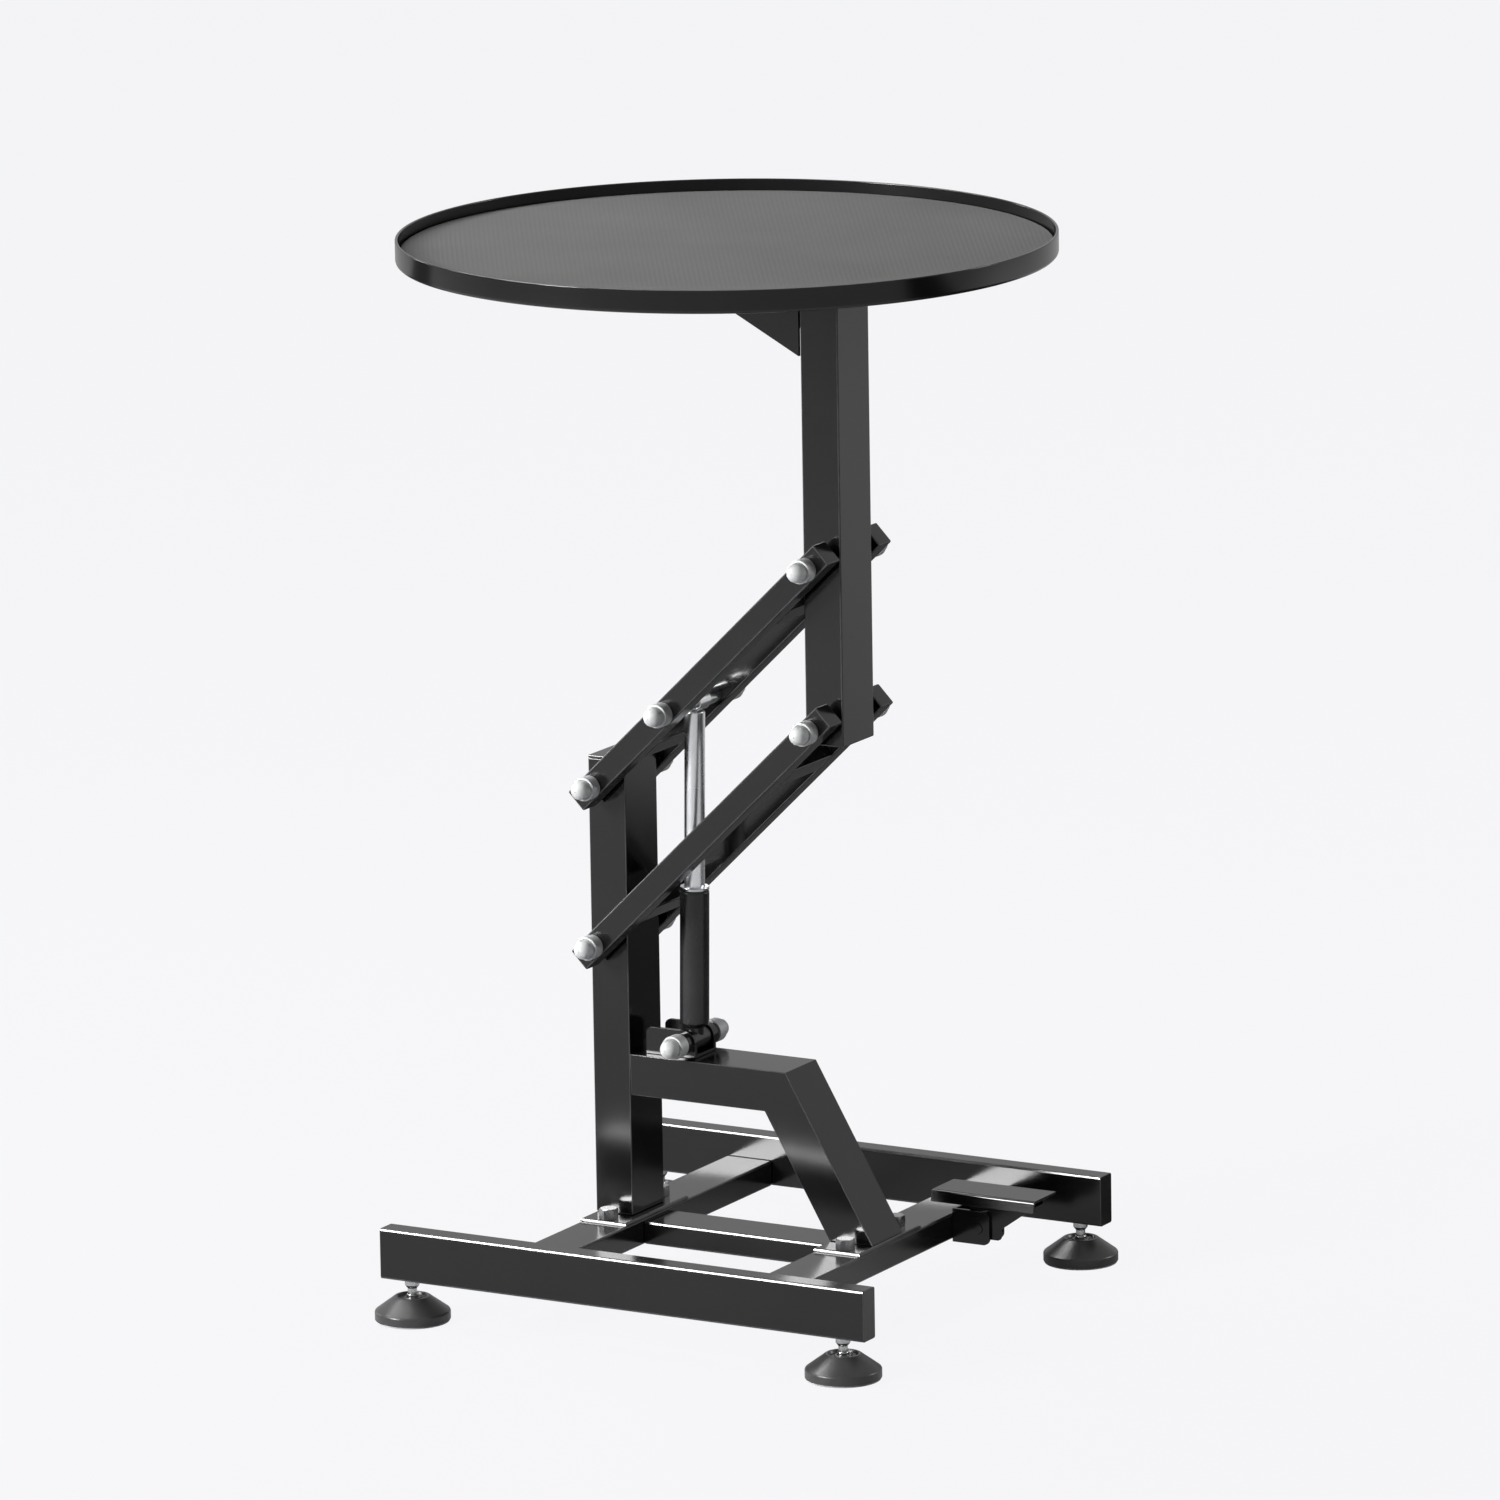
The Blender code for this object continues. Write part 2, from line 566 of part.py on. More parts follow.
def build_arms():
    """The two arms of the lift: each is a pair of bars, its ties and its pivot bolts."""
    upper = add_pivot("upper_arm_pivot", COLUMN_X, 0, UPPER_PIVOT_Z, -ARM_ANGLE)
    lower = add_pivot("lower_arm_pivot", COLUMN_X, 0, LOWER_PIVOT_Z, -ARM_ANGLE)
    for side, word in ((-1, "near"), (1, "far")):
        build_bar(f"upper_bar_{word}", side, (0, GAS_ARM_STATION, ARM_LENGTH), upper)
        build_bar(f"lower_bar_{word}", side, (0, ARM_LENGTH), lower)
        build_gas_spacer(f"gas_spacer_{word}", side, upper)
    build_tie("upper_tie_base", UPPER_TIE_STATION, upper)
    build_tie("upper_tie_top", TOP_TIE_STATION, upper)
    build_tie("lower_tie_base", LOWER_TIE_STATION, lower)
    build_tie("lower_tie_top", TOP_TIE_STATION, lower)
    build_pivot_bolt("upper_base", ARM_SEAT_Y, 0, 0, upper)
    build_pivot_bolt("gas_top", ARM_SEAT_Y, GAS_ARM_STATION, 0, upper)
    build_pivot_bolt("upper_top", ARM_SEAT_Y, ARM_LENGTH, 0, upper)
    build_pivot_bolt("lower_base", ARM_SEAT_Y, 0, 0, lower)
    build_pivot_bolt("lower_top", ARM_SEAT_Y, ARM_LENGTH, 0, lower)


def build_gas_spacer(name, side, arm):
    """Steel sleeve on the upper gas bolt, between the rod's eye and a bar."""
    inner = facet_bore(PIN_RADIUS, GAP)
    near = EYE_HALF_WIDTH + SIDE_PLAY
    far = ARM_INNER_Y - GAP
    ring = turned([(inner, near), (SPACER_RADIUS, near), (SPACER_RADIUS, far), (inner, far)], PIN_SIDES)
    spacer = add_object(name, ring, (GAS_ARM_STATION, 0, 0), arm)
    spacer.rotation_euler = (-side * math.pi / 2, 0, 0)
    coat(spacer, ZINC)


def build_gas_spring():
    """Cylinder on the clevis, rod in the cylinder's blind bore, and the rod's eye."""
    pivot = add_pivot("gas_pivot", GAS_X, 0, GAS_Z, GAS_TILT)
    mouth = facet_bore(ROD_RADIUS, RUN)
    shoulder = CYLINDER_SHOULDER
    neck = CYLINDER_NECK
    body_start = CLEVIS_NOSE + SIDE_PLAY
    body = [(0, LOWER_EYE_RADIUS / 2), (neck, LOWER_EYE_RADIUS / 2), (neck, body_start),
            (CYLINDER_RADIUS - shoulder, body_start), (CYLINDER_RADIUS, body_start + shoulder),
            (CYLINDER_RADIUS, CYLINDER_LENGTH - GAP), (CYLINDER_RADIUS - GAP, CYLINDER_LENGTH),
            (mouth, CYLINDER_LENGTH), (mouth, CYLINDER_FLOOR), (0, CYLINDER_FLOOR)]
    cylinder = add_object("gas_cylinder", turned(body, PIN_SIDES), (0, 0, 0), pivot)
    eye_reach = CLEVIS_WIDTH / 2 - CLEVIS_EAR - SIDE_PLAY
    combine(cylinder, "UNION", "lower_eye", rods([(0, 0)], LOWER_EYE_RADIUS, -eye_reach, eye_reach))
    combine(cylinder, "DIFFERENCE", "lower_bore",
            rods([(0, 0)], facet_bore(PIN_RADIUS, RUN), -2 * eye_reach, 2 * eye_reach))
    coat(cylinder, CAST_BLACK)

    rod_end = EYE_ALONG - EYE_RADIUS - GAP
    outline = [(0, ROD_START), (ROD_RADIUS - ROD_TIP, ROD_START), (ROD_RADIUS, ROD_START + ROD_TIP),
               (ROD_RADIUS, rod_end), (0, rod_end)]
    rod = add_object("gas_rod", turned(outline, PIN_SIDES), (0, 0, 0), pivot)
    coat(rod, CHROME)

    socket = facet_bore(ROD_RADIUS, GAP)
    neck_low = EYE_ALONG - EYE_NECK
    neck_outline = [(0, rod_end + GAP), (socket, rod_end + GAP), (socket, neck_low),
                    (EYE_NECK_RADIUS, neck_low), (EYE_NECK_RADIUS, EYE_ALONG - EYE_RADIUS / 2),
                    (0, EYE_ALONG - EYE_RADIUS / 2)]
    eye = add_object("gas_eye", turned(neck_outline, PIN_SIDES), (0, 0, 0), pivot)
    centre = [(EYE_SHIFT_ACROSS, EYE_ALONG)]
    combine(eye, "UNION", "barrel", rods(centre, EYE_RADIUS, -EYE_HALF_WIDTH, EYE_HALF_WIDTH))
    combine(eye, "DIFFERENCE", "slack_bore",
            rods(centre, facet_bore(PIN_RADIUS, EYE_PLAY + RUN), -2 * EYE_HALF_WIDTH, 2 * EYE_HALF_WIDTH))
    coat(eye, CAST_BLACK)
    build_pivot_bolt("gas_base", CLEVIS_SEAT_Y, GAS_X, GAS_Z)


def build_gusset(name, side):
    """Triangular plate under the tray, beside the mast."""
    edge = MAST_X - POST_DEPTH / 2 - GUSSET_GAP
    top = TRAY_BOTTOM - GAP
    outline = [(edge, top - GUSSET_DEPTH), (edge, top), (edge - GUSSET_DEPTH / math.tan(GUSSET_ANGLE), top)]
    middle = side * (POST_WIDTH - GUSSET_THICKNESS) / 2
    half = GUSSET_THICKNESS / 2
    gusset = add_object(name, extruded(outline, middle - half, middle + half, "Y"))
    coat(gusset, BLACK_COAT)


def build_tray():
    """Round pan with a low wall and a rounded lower edge."""
    rim = TRAY_HEIGHT
    edge = TRAY_EDGE
    inner = TRAY_RADIUS - TRAY_WALL
    lip = TRAY_LIP
    outline = [(0, 0)] + arc(TRAY_RADIUS - edge, edge, edge, -90, 0, 3)
    outline += [(TRAY_RADIUS, rim - lip), (TRAY_RADIUS - lip, rim), (inner + lip, rim),
                (inner, rim - lip), (inner, TRAY_FLOOR), (0, TRAY_FLOOR)]
    tray = add_object("tray", turned(outline, TRAY_SIDES), (0, 0, TRAY_BOTTOM))
    coat(tray, BLACK_COAT)


def build_mat():
    """Round rubber mat that lies in the tray."""
    radius = TRAY_RADIUS - TRAY_WALL - MAT_MARGIN
    low = TRAY_FLOOR + GAP
    high = low + MAT_THICKNESS
    outline = [(0, low), (radius, low), (radius, high - MAT_EDGE), (radius - MAT_EDGE, high), (0, high)]
    mat = add_object("mat", turned(outline, TRAY_SIDES), (0, 0, TRAY_BOTTOM))
    coat(mat, MAT_RUBBER)


def build_foot(name, x, y):
    """Levelling foot: a cone-shaped pad, and a stud with its collar nut under the rail."""
    foot = add_pivot(f"{name}_slide", x, y, 0)
    socket = facet_bore(STUD_RADIUS, GAP)
    dish = PAD_HEIGHT - PAD_DISH_DEPTH
    pad_outline = [(0, 0), (PAD_RADIUS, 0), (PAD_RADIUS, PAD_RIM - PAD_SHOULDER),
                   (PAD_RADIUS - PAD_SHOULDER, PAD_RIM + PAD_SHOULDER / 2), (PAD_TOP_RADIUS, PAD_HEIGHT),
                   (PAD_DISH_RADIUS, PAD_HEIGHT), (PAD_DISH_RADIUS, dish), (socket, dish),
                   (socket, dish - PAD_SOCKET_DEPTH), (0, dish - PAD_SOCKET_DEPTH)]
    pad = add_object(f"{name}_pad", turned(pad_outline, PAD_SIDES), (0, 0, 0), foot)
    coat(pad, PAD_PLASTIC)

    base = dish + GAP
    collar = FRAME_BOTTOM - GAP - COLLAR_HEIGHT
    stud_outline = [(0, base - PAD_SOCKET_DEPTH), (STUD_RADIUS, base - PAD_SOCKET_DEPTH),
                    (STUD_RADIUS, base), (STUD_BASE_RADIUS, base),
                    (STUD_BASE_RADIUS, base + STUD_BASE_HEIGHT), (STUD_RADIUS, base + STUD_BASE_HEIGHT),
                    (STUD_RADIUS, collar), (COLLAR_RADIUS, collar), (COLLAR_RADIUS, FRAME_BOTTOM - GAP),
                    (STUD_RADIUS, FRAME_BOTTOM - GAP), (STUD_RADIUS, FRAME_BOTTOM + STUD_IN_RAIL),
                    (0, FRAME_BOTTOM + STUD_IN_RAIL)]
    stud = add_object(f"{name}_stud", turned(stud_outline, PIN_SIDES), (0, 0, 0), foot)
    coat(stud, ZINC)


def build_pedal_bracket():
    """U bracket on the front cross member, whose two ears hold the pedal's pin."""
    start = CROSS_FACE_X + GAP
    end = CROSS_FACE_X + EAR_REACH
    near = BRACKET_NEAR_Y
    far = BRACKET_FAR_Y
    low = FRAME_BOTTOM - EAR_DROP
    high = PEDAL_TOP - EAR_TOP_BELOW_PAD
    plan = [(start, near), (end, near), (end, near + EAR_SHEET), (start + EAR_SHEET, near + EAR_SHEET),
            (start + EAR_SHEET, far - EAR_SHEET), (end, far - EAR_SHEET), (end, far), (start, far)]
    bracket = add_object("pedal_bracket", extruded(plan, low, high, "Z"))
    corner = EAR_CORNER
    side = [(start - EAR_REACH, low)]
    side += arc(end - corner, low + corner, corner, -90, 0, 4)
    side += arc(end - corner, high - corner, corner, 0, 90, 4)
    side += [(start - EAR_REACH, high)]
    combine(bracket, "INTERSECT", "side_view", extruded(side, near - corner, far + corner, "Y"))
    combine(bracket, "DIFFERENCE", "pin_hole",
            rods([(PEDAL_PIN_X, PEDAL_PIN_Z)], facet_bore(PEDAL_PIN_RADIUS, GAP), near - corner, far + corner))
    coat(bracket, BLACK_COAT)

    head = PEDAL_PIN_HEAD
    near_head = near - GAP
    far_head = far + GAP
    outline = [(0, near_head - head), (PEDAL_PIN_HEAD_RADIUS - head / 2, near_head - head),
               (PEDAL_PIN_HEAD_RADIUS, near_head), (PEDAL_PIN_RADIUS, near_head),
               (PEDAL_PIN_RADIUS, far_head), (PEDAL_PIN_HEAD_RADIUS, far_head),
               (PEDAL_PIN_HEAD_RADIUS - head / 2, far_head + head), (0, far_head + head)]
    pin = add_object("pedal_pin", turned(outline, PIN_SIDES), (PEDAL_PIN_X, 0, PEDAL_PIN_Z))
    pin.rotation_euler = (-math.pi / 2, 0, 0)
    coat(pin, BLACK_COAT)


def build_pedal():
    """Pressed pad with a flange on its near edge and two lever webs under it, on the pin."""
    pivot = add_pivot("pedal_pivot", PEDAL_PIN_X, 0, PEDAL_PIN_Z)
    rear = CROSS_FACE_X - PEDAL_REACH_BACK - PEDAL_PIN_X
    top = PEDAL_PIN_DROP
    sheet = PEDAL_SHEET
    near = PEDAL_NEAR_Y
    under = top - sheet
    section = arc(near + PEDAL_BEND, top - PEDAL_BEND, PEDAL_BEND, 180, 90, 4)
    section += [(near + PEDAL_WIDTH, top), (near + PEDAL_WIDTH, under)]
    section += arc(near + PEDAL_BEND, top - PEDAL_BEND, PEDAL_BEND - sheet, 90, 180, 2)
    section += [(near + sheet, top - PEDAL_FLANGE), (near, top - PEDAL_FLANGE)]
    pedal = add_object("pedal", extruded(section, rear, rear + PEDAL_LENGTH, "X"), (0, 0, 0), pivot)
    corner = WEB_CORNER
    web = [(-WEB_REAR, -WEB_DROP)] + arc(WEB_HEEL - corner, corner - WEB_DROP, corner, -90, 0, 3)
    web += [(WEB_HEEL, WEB_HEEL_TOP), (WEB_TOE, under - WEB_TOE_DROP), (WEB_TOE, under + sheet / 2),
            (-WEB_REAR, under + sheet / 2)]
    ear_near = BRACKET_NEAR_Y + EAR_SHEET
    ear_far = BRACKET_FAR_Y - EAR_SHEET
    starts = {"near_web": ear_near + SIDE_PLAY, "far_web": ear_far - SIDE_PLAY - sheet}
    for word, start in starts.items():
        combine(pedal, "UNION", word, extruded(web, start, start + sheet, "Y"))
    combine(pedal, "DIFFERENCE", "pin_hole",
            rods([(0, 0)], facet_bore(PEDAL_PIN_RADIUS, RUN), ear_near, ear_far))
    coat(pedal, BLACK_COAT)
    build_pedal_spring(pivot, (ear_near + ear_far) / 2)


def build_pedal_spring(pivot, middle):
    """Coiled return spring around the pin, with a short leg along the bracket's back."""
    pitch = 2 * SPRING_WIRE + GAP
    span = SPRING_TURNS * pitch
    path = [(-SPRING_RADIUS, middle - span / 2, SPRING_LEG)]
    count = SPRING_TURNS * SPRING_STEPS
    for step in range(count + 1):
        angle = math.pi - math.tau * step / SPRING_STEPS
        path.append((SPRING_RADIUS * math.cos(angle), middle - span / 2 + span * step / count,
                     SPRING_RADIUS * math.sin(angle)))
    curve = bpy.data.curves.new("pedal_spring", "CURVE")
    curve.dimensions = "3D"
    curve.bevel_depth = SPRING_WIRE
    curve.bevel_resolution = 0
    curve.use_fill_caps = True
    line = curve.splines.new("POLY")
    line.points.add(len(path) - 1)
    for point, spot in zip(line.points, path):
        point.co = (*spot, 1)
    spring = bpy.data.objects.new("pedal_spring", curve)
    spring.parent = pivot
    bpy.context.scene.collection.objects.link(spring)
    coat(spring, ZINC)


def build_frame():
    """Floor frame, column, strut and everything fixed on them."""
    for side, word in ((-1, "near"), (1, "far")):
        build_rail(f"rail_{word}", side)
        build_plate_bolt(f"rear_bolt_{word}", CROSS_REAR_X, side * PLATE_BOLT_SPACING / 2)
        build_plate_bolt(f"front_bolt_{word}", CROSS_FRONT_X + FRONT_BOLT_SHIFT,
                         side * PLATE_BOLT_SPACING / 2)
    build_cross_member("cross_rear", CROSS_REAR_X)
    build_cross_member("cross_front", CROSS_FRONT_X)
    build_spine()
    build_plate("plate_rear", CROSS_REAR_X)
    build_plate("plate_front", CROSS_FRONT_X)
    build_post("column", COLUMN_X, PLATE_TOP + GAP, COLUMN_HEIGHT - CAP_THICKNESS, 0,
               (LOWER_PIVOT_Z, UPPER_PIVOT_Z))
    build_column_cap()
    build_strut()
    build_clevis()
    build_pedal_bracket()


def build_mast():
    """Mast, gussets, tray and mat, which the lift raises without tilting."""
    build_post("mast", MAST_X, MAST_BOTTOM, MAST_LENGTH, POST_WALL, (MAST_LOWER_Z, MAST_UPPER_Z))
    build_gusset("gusset_near", -1)
    build_gusset("gusset_far", 1)
    build_tray()
    build_mat()


def build_feet():
    """A levelling foot near each end of each rail."""
    for end, end_word in ((-1, "rear"), (1, "front")):
        for side, side_word in ((-1, "near"), (1, "far")):
            x = FRAME_MIDDLE_X + end * (RAIL_LENGTH / 2 - FOOT_INSET)
            build_foot(f"foot_{end_word}_{side_word}", x, side * RAIL_Y)


for old in list(bpy.data.objects):
    bpy.data.objects.remove(old, do_unlink=True)
build_frame()
build_arms()
build_gas_spring()
build_mast()
build_feet()
build_pedal()
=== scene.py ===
"""Looks of a grooming table: a round tray on two parallel lift arms and a gas spring over a floor frame."""
import json
import math

import bmesh
import bpy
from mathutils import Matrix, Vector


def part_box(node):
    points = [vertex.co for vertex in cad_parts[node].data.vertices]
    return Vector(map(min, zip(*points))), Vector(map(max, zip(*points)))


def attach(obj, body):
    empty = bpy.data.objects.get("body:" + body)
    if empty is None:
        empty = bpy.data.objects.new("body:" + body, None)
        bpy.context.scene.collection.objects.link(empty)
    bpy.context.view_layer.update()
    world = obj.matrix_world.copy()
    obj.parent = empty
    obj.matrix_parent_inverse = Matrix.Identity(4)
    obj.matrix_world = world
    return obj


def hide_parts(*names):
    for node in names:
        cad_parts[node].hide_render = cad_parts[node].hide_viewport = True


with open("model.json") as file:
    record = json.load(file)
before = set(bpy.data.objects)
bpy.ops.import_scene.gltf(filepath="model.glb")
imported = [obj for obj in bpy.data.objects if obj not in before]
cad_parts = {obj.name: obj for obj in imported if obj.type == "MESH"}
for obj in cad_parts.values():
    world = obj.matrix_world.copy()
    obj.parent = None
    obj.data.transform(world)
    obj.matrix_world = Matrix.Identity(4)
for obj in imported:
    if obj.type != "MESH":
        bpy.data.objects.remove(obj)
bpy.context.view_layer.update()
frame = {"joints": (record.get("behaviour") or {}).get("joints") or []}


# Studio: a plain pale floor and surround, large soft boxes well clear of the table, and a long-lens camera
# that looks at it from its front right, a little above it. For mirror rays only, a band of the floor behind
# the table is painted dark, a painted shadow seen only in reflections, which keeps the undersides of the
# black tubes black.
CAMERA_SPOT = (5.2233, -9.1209, 2.8181)
CAMERA_TURN = 29.722
CAMERA_DROP = 12.303
CAMERA_ROLL = -0.913
camera = bpy.data.objects.new("camera", bpy.data.cameras.new("camera"))
camera.data.sensor_width = 36
camera.data.lens = 273.84
camera.data.clip_end = 100
look = (Matrix.Rotation(math.radians(CAMERA_TURN), 4, "Z")
        @ Matrix.Rotation(math.radians(90 - CAMERA_DROP), 4, "X")
        @ Matrix.Rotation(math.radians(CAMERA_ROLL), 4, "Z"))
camera.matrix_world = Matrix.Translation(CAMERA_SPOT) @ look
bpy.context.scene.collection.objects.link(camera)
bpy.context.scene.camera = camera
bpy.context.scene.view_settings.view_transform = "Standard"


def arithmetic(tree, operation, *terms):
    """One step of arithmetic on numbers or links."""
    step = tree.nodes.new("ShaderNodeMath")
    step.operation = operation
    for socket, term in zip(step.inputs, terms):
        if isinstance(term, (int, float)):
            socket.default_value = term
        else:
            tree.links.new(term, socket)
    return step.outputs[0]


def between(tree, field, low, high, field_low=0.3, field_high=0.7):
    """Turn a field into a number between two values."""
    scale = tree.nodes.new("ShaderNodeMapRange")
    scale.inputs["From Min"].default_value = field_low
    scale.inputs["From Max"].default_value = field_high
    scale.inputs["To Min"].default_value = low
    scale.inputs["To Max"].default_value = high
    tree.links.new(field, scale.inputs["Value"])
    return scale.outputs["Result"]


def blend_colour(tree, field, first, second):
    """Blend two colours, or links, by a field."""
    mix = tree.nodes.new("ShaderNodeMix")
    mix.data_type = "RGBA"
    tree.links.new(field, mix.inputs["Factor"])
    for socket, colour in (("A", first), ("B", second)):
        slot = next(s for s in mix.inputs if s.name == socket and s.type == "RGBA")
        if isinstance(colour, tuple):
            slot.default_value = (*colour, 1)
        else:
            tree.links.new(colour, slot)
    return next(s for s in mix.outputs if s.type == "RGBA")


def blend_shaders(tree, share, first, second, output_kind):
    """Blend two shaders by a share and send the result to an output of that kind."""
    blend = tree.nodes.new("ShaderNodeMixShader")
    output = tree.nodes.new(output_kind)
    tree.links.new(share, blend.inputs["Fac"])
    tree.links.new(first.outputs[0], blend.inputs[1])
    tree.links.new(second.outputs[0], blend.inputs[2])
    tree.links.new(blend.outputs[0], output.inputs["Surface"])


PALE = (0.945, 0.945, 0.962, 1)
FLOOR_REACH = 40
FLOOR_GREY = (0.40, 0.40, 0.41)
SHADOW_BAND_GREY = (0.09, 0.09, 0.09)
BAND_MIDDLE = 1.05
BAND_HALF = 0.65
BAND_FADE = 0.30
SEEN_PALE = 0.95
MIRRORED_PALE = 0.42
floor_mesh = bmesh.new()
bmesh.ops.create_grid(floor_mesh, x_segments=1, y_segments=1, size=FLOOR_REACH)
floor_data = bpy.data.meshes.new("floor")
floor_mesh.to_mesh(floor_data)
floor_mesh.free()
floor = bpy.data.objects.new("floor", floor_data)
bpy.context.scene.collection.objects.link(floor)
floor_paint = bpy.data.materials.new("floor_paint")
floor_paint.use_nodes = True
tree = floor_paint.node_tree
tree.nodes.clear()
matte = tree.nodes.new("ShaderNodeBsdfDiffuse")
plain = tree.nodes.new("ShaderNodeEmission")
plain.inputs["Color"].default_value = PALE
rays = tree.nodes.new("ShaderNodeLightPath")
place = tree.nodes.new("ShaderNodeTexCoord")
axes = tree.nodes.new("ShaderNodeSeparateXYZ")
tree.links.new(place.outputs["Object"], axes.inputs[0])
# A band of floor behind the table is painted dark for mirror rays only: a painted shadow, seen only in
# reflections.
from_band = arithmetic(tree, "ABSOLUTE", arithmetic(tree, "SUBTRACT", axes.outputs["Y"], BAND_MIDDLE))
mirrored_shadow_band = between(tree, from_band, 1.0, 0.0, BAND_HALF, BAND_HALF + BAND_FADE)
dark = arithmetic(tree, "MULTIPLY", rays.outputs["Is Glossy Ray"], mirrored_shadow_band)
tree.links.new(blend_colour(tree, dark, FLOOR_GREY, SHADOW_BAND_GREY), matte.inputs["Color"])
pale_in_mirrors = arithmetic(tree, "MULTIPLY_ADD", dark, -MIRRORED_PALE, MIRRORED_PALE)
mirrored = arithmetic(tree, "MULTIPLY", rays.outputs["Is Glossy Ray"], pale_in_mirrors)
share = arithmetic(tree, "MULTIPLY_ADD", rays.outputs["Is Camera Ray"], SEEN_PALE, mirrored)
blend_shaders(tree, share, matte, plain, "ShaderNodeOutputMaterial")
floor_data.materials.append(floor_paint)

SOFT_LIGHT = 0.15
MIRRORED_SURROUND = 0.58
world = bpy.data.worlds.new("surround")
world.use_nodes = True
bpy.context.scene.world = world
tree = world.node_tree
tree.nodes.clear()
soft = tree.nodes.new("ShaderNodeBackground")
soft.inputs["Color"].default_value = (1, 1, 1, 1)
soft.inputs["Strength"].default_value = SOFT_LIGHT
plain = tree.nodes.new("ShaderNodeBackground")
plain.inputs["Color"].default_value = PALE
rays = tree.nodes.new("ShaderNodeLightPath")
level = between(tree, rays.outputs["Is Glossy Ray"], 1.0, MIRRORED_SURROUND, 0, 1)
tree.links.new(level, plain.inputs["Strength"])
seen = arithmetic(tree, "MAXIMUM", rays.outputs["Is Camera Ray"], rays.outputs["Is Glossy Ray"])
seen = arithmetic(tree, "MAXIMUM", seen, rays.outputs["Is Transmission Ray"])
blend_shaders(tree, seen, soft, plain, "ShaderNodeOutputWorld")


def soft_box(name, spot, target, width, height, power, spread):
    """A soft box that faces a point, unseen by the camera. A grid narrows its spread, in degrees."""
    lamp = bpy.data.objects.new(name, bpy.data.lights.new(name, "AREA"))
    lamp.data.shape = "RECTANGLE"
    lamp.data.size = width
    lamp.data.size_y = height
    lamp.data.energy = power
    lamp.data.spread = math.radians(spread)
    away = Vector(spot) - Vector(target)
    lamp.matrix_world = Matrix.Translation(spot) @ away.to_track_quat("Z", "Y").to_matrix().to_4x4()
    lamp.visible_camera = False
    bpy.context.scene.collection.objects.link(lamp)


soft_box("overhead_box", (-1.65, 0.25, 3.0), (-0.8, 0.25, 0), width=0.6, height=2.0, power=55, spread=180)
soft_box("key_box", (-2.59, -2.42, 2.80), (0, 0, 0.1), width=1.3, height=1.3, power=100, spread=180)
soft_box("front_box", (-3.45, -6.00, 2.45), (0, 0, 0.05), width=1.6, height=2.4, power=70, spread=55)
soft_box("side_box", (-6.40, 1.24, 2.0), (0, 0, 0.5), width=1.2, height=0.9, power=34, spread=180)
soft_box("right_box", (4.80, 3.90, 2.4), (2.2, 3.4, 0), width=1.2, height=1.6, power=60, spread=100)


# Levelling feet: four cone-shaped plastic pads on grey anti-slip discs, each turned on a plated stud whose
# collar nut bears against the underside of a rail.
def node_material(name, finish):
    """A Principled material with its plain numbers set, and its Object coordinates."""
    material = bpy.data.materials.new(name)
    material.use_nodes = True
    shader = material.node_tree.nodes["Principled BSDF"]
    for socket, value in finish.items():
        shader.inputs[socket].default_value = value
    place = material.node_tree.nodes.new("ShaderNodeTexCoord")
    return material, material.node_tree, shader, place.outputs["Object"]


def add_noise(tree, place, scale, detail):
    """A noise field of so many cycles to the metre."""
    noise = tree.nodes.new("ShaderNodeTexNoise")
    noise.inputs["Scale"].default_value = scale
    noise.inputs["Detail"].default_value = detail
    tree.links.new(place, noise.inputs["Vector"])
    return noise.outputs["Fac"]


def add_bump(tree, shader, field, strength, depth):
    """Raise the surface by a field, to a depth in metres."""
    bump = tree.nodes.new("ShaderNodeBump")
    bump.inputs["Strength"].default_value = strength
    bump.inputs["Distance"].default_value = depth
    tree.links.new(field, bump.inputs["Height"])
    tree.links.new(bump.outputs["Normal"], shader.inputs["Normal"])


def grained(name, dark, light, roughness, patch, grain, depth, **finish):
    """Material whose colour and gloss change softly in patches, with a fine raised grain of that depth."""
    material, tree, shader, place = node_material(name, finish)
    patches = add_noise(tree, place, patch, 3)
    colour = blend_colour(tree, between(tree, patches, 0, 1), dark, light)
    tree.links.new(colour, shader.inputs["Base Color"])
    tree.links.new(between(tree, patches, *roughness), shader.inputs["Roughness"])
    add_bump(tree, shader, add_noise(tree, place, grain, 2), 0.4, depth)
    return material


pad_plastic = grained("pad_plastic", (0.028, 0.028, 0.029), (0.038, 0.038, 0.039), (0.30, 0.36),
                      patch=60, grain=1500, depth=0.00004)
grip_rubber = grained("grip_rubber", (0.33, 0.33, 0.34), (0.42, 0.42, 0.43), (0.75, 0.85),
                      patch=120, grain=900, depth=0.00008)
stud_steel = grained("stud_steel", (0.42, 0.425, 0.43), (0.54, 0.545, 0.55), (0.22, 0.30),
                     patch=140, grain=2200, depth=0.00003, Metallic=1.0)
SAME_SPOT = 0.000002
ON_THE_RING = 0.000005
ROUND_STEPS = 96
SMALL_STEPS = 64
SOFT_ANGLE = 38


def on_ring(edge, radius, height):
    """Whether both ends of an edge lie on that ring about Z."""
    return all(abs(vert.co.z - height) < ON_THE_RING and abs(vert.co.xy.length - radius) < ON_THE_RING
               for vert in edge.verts)


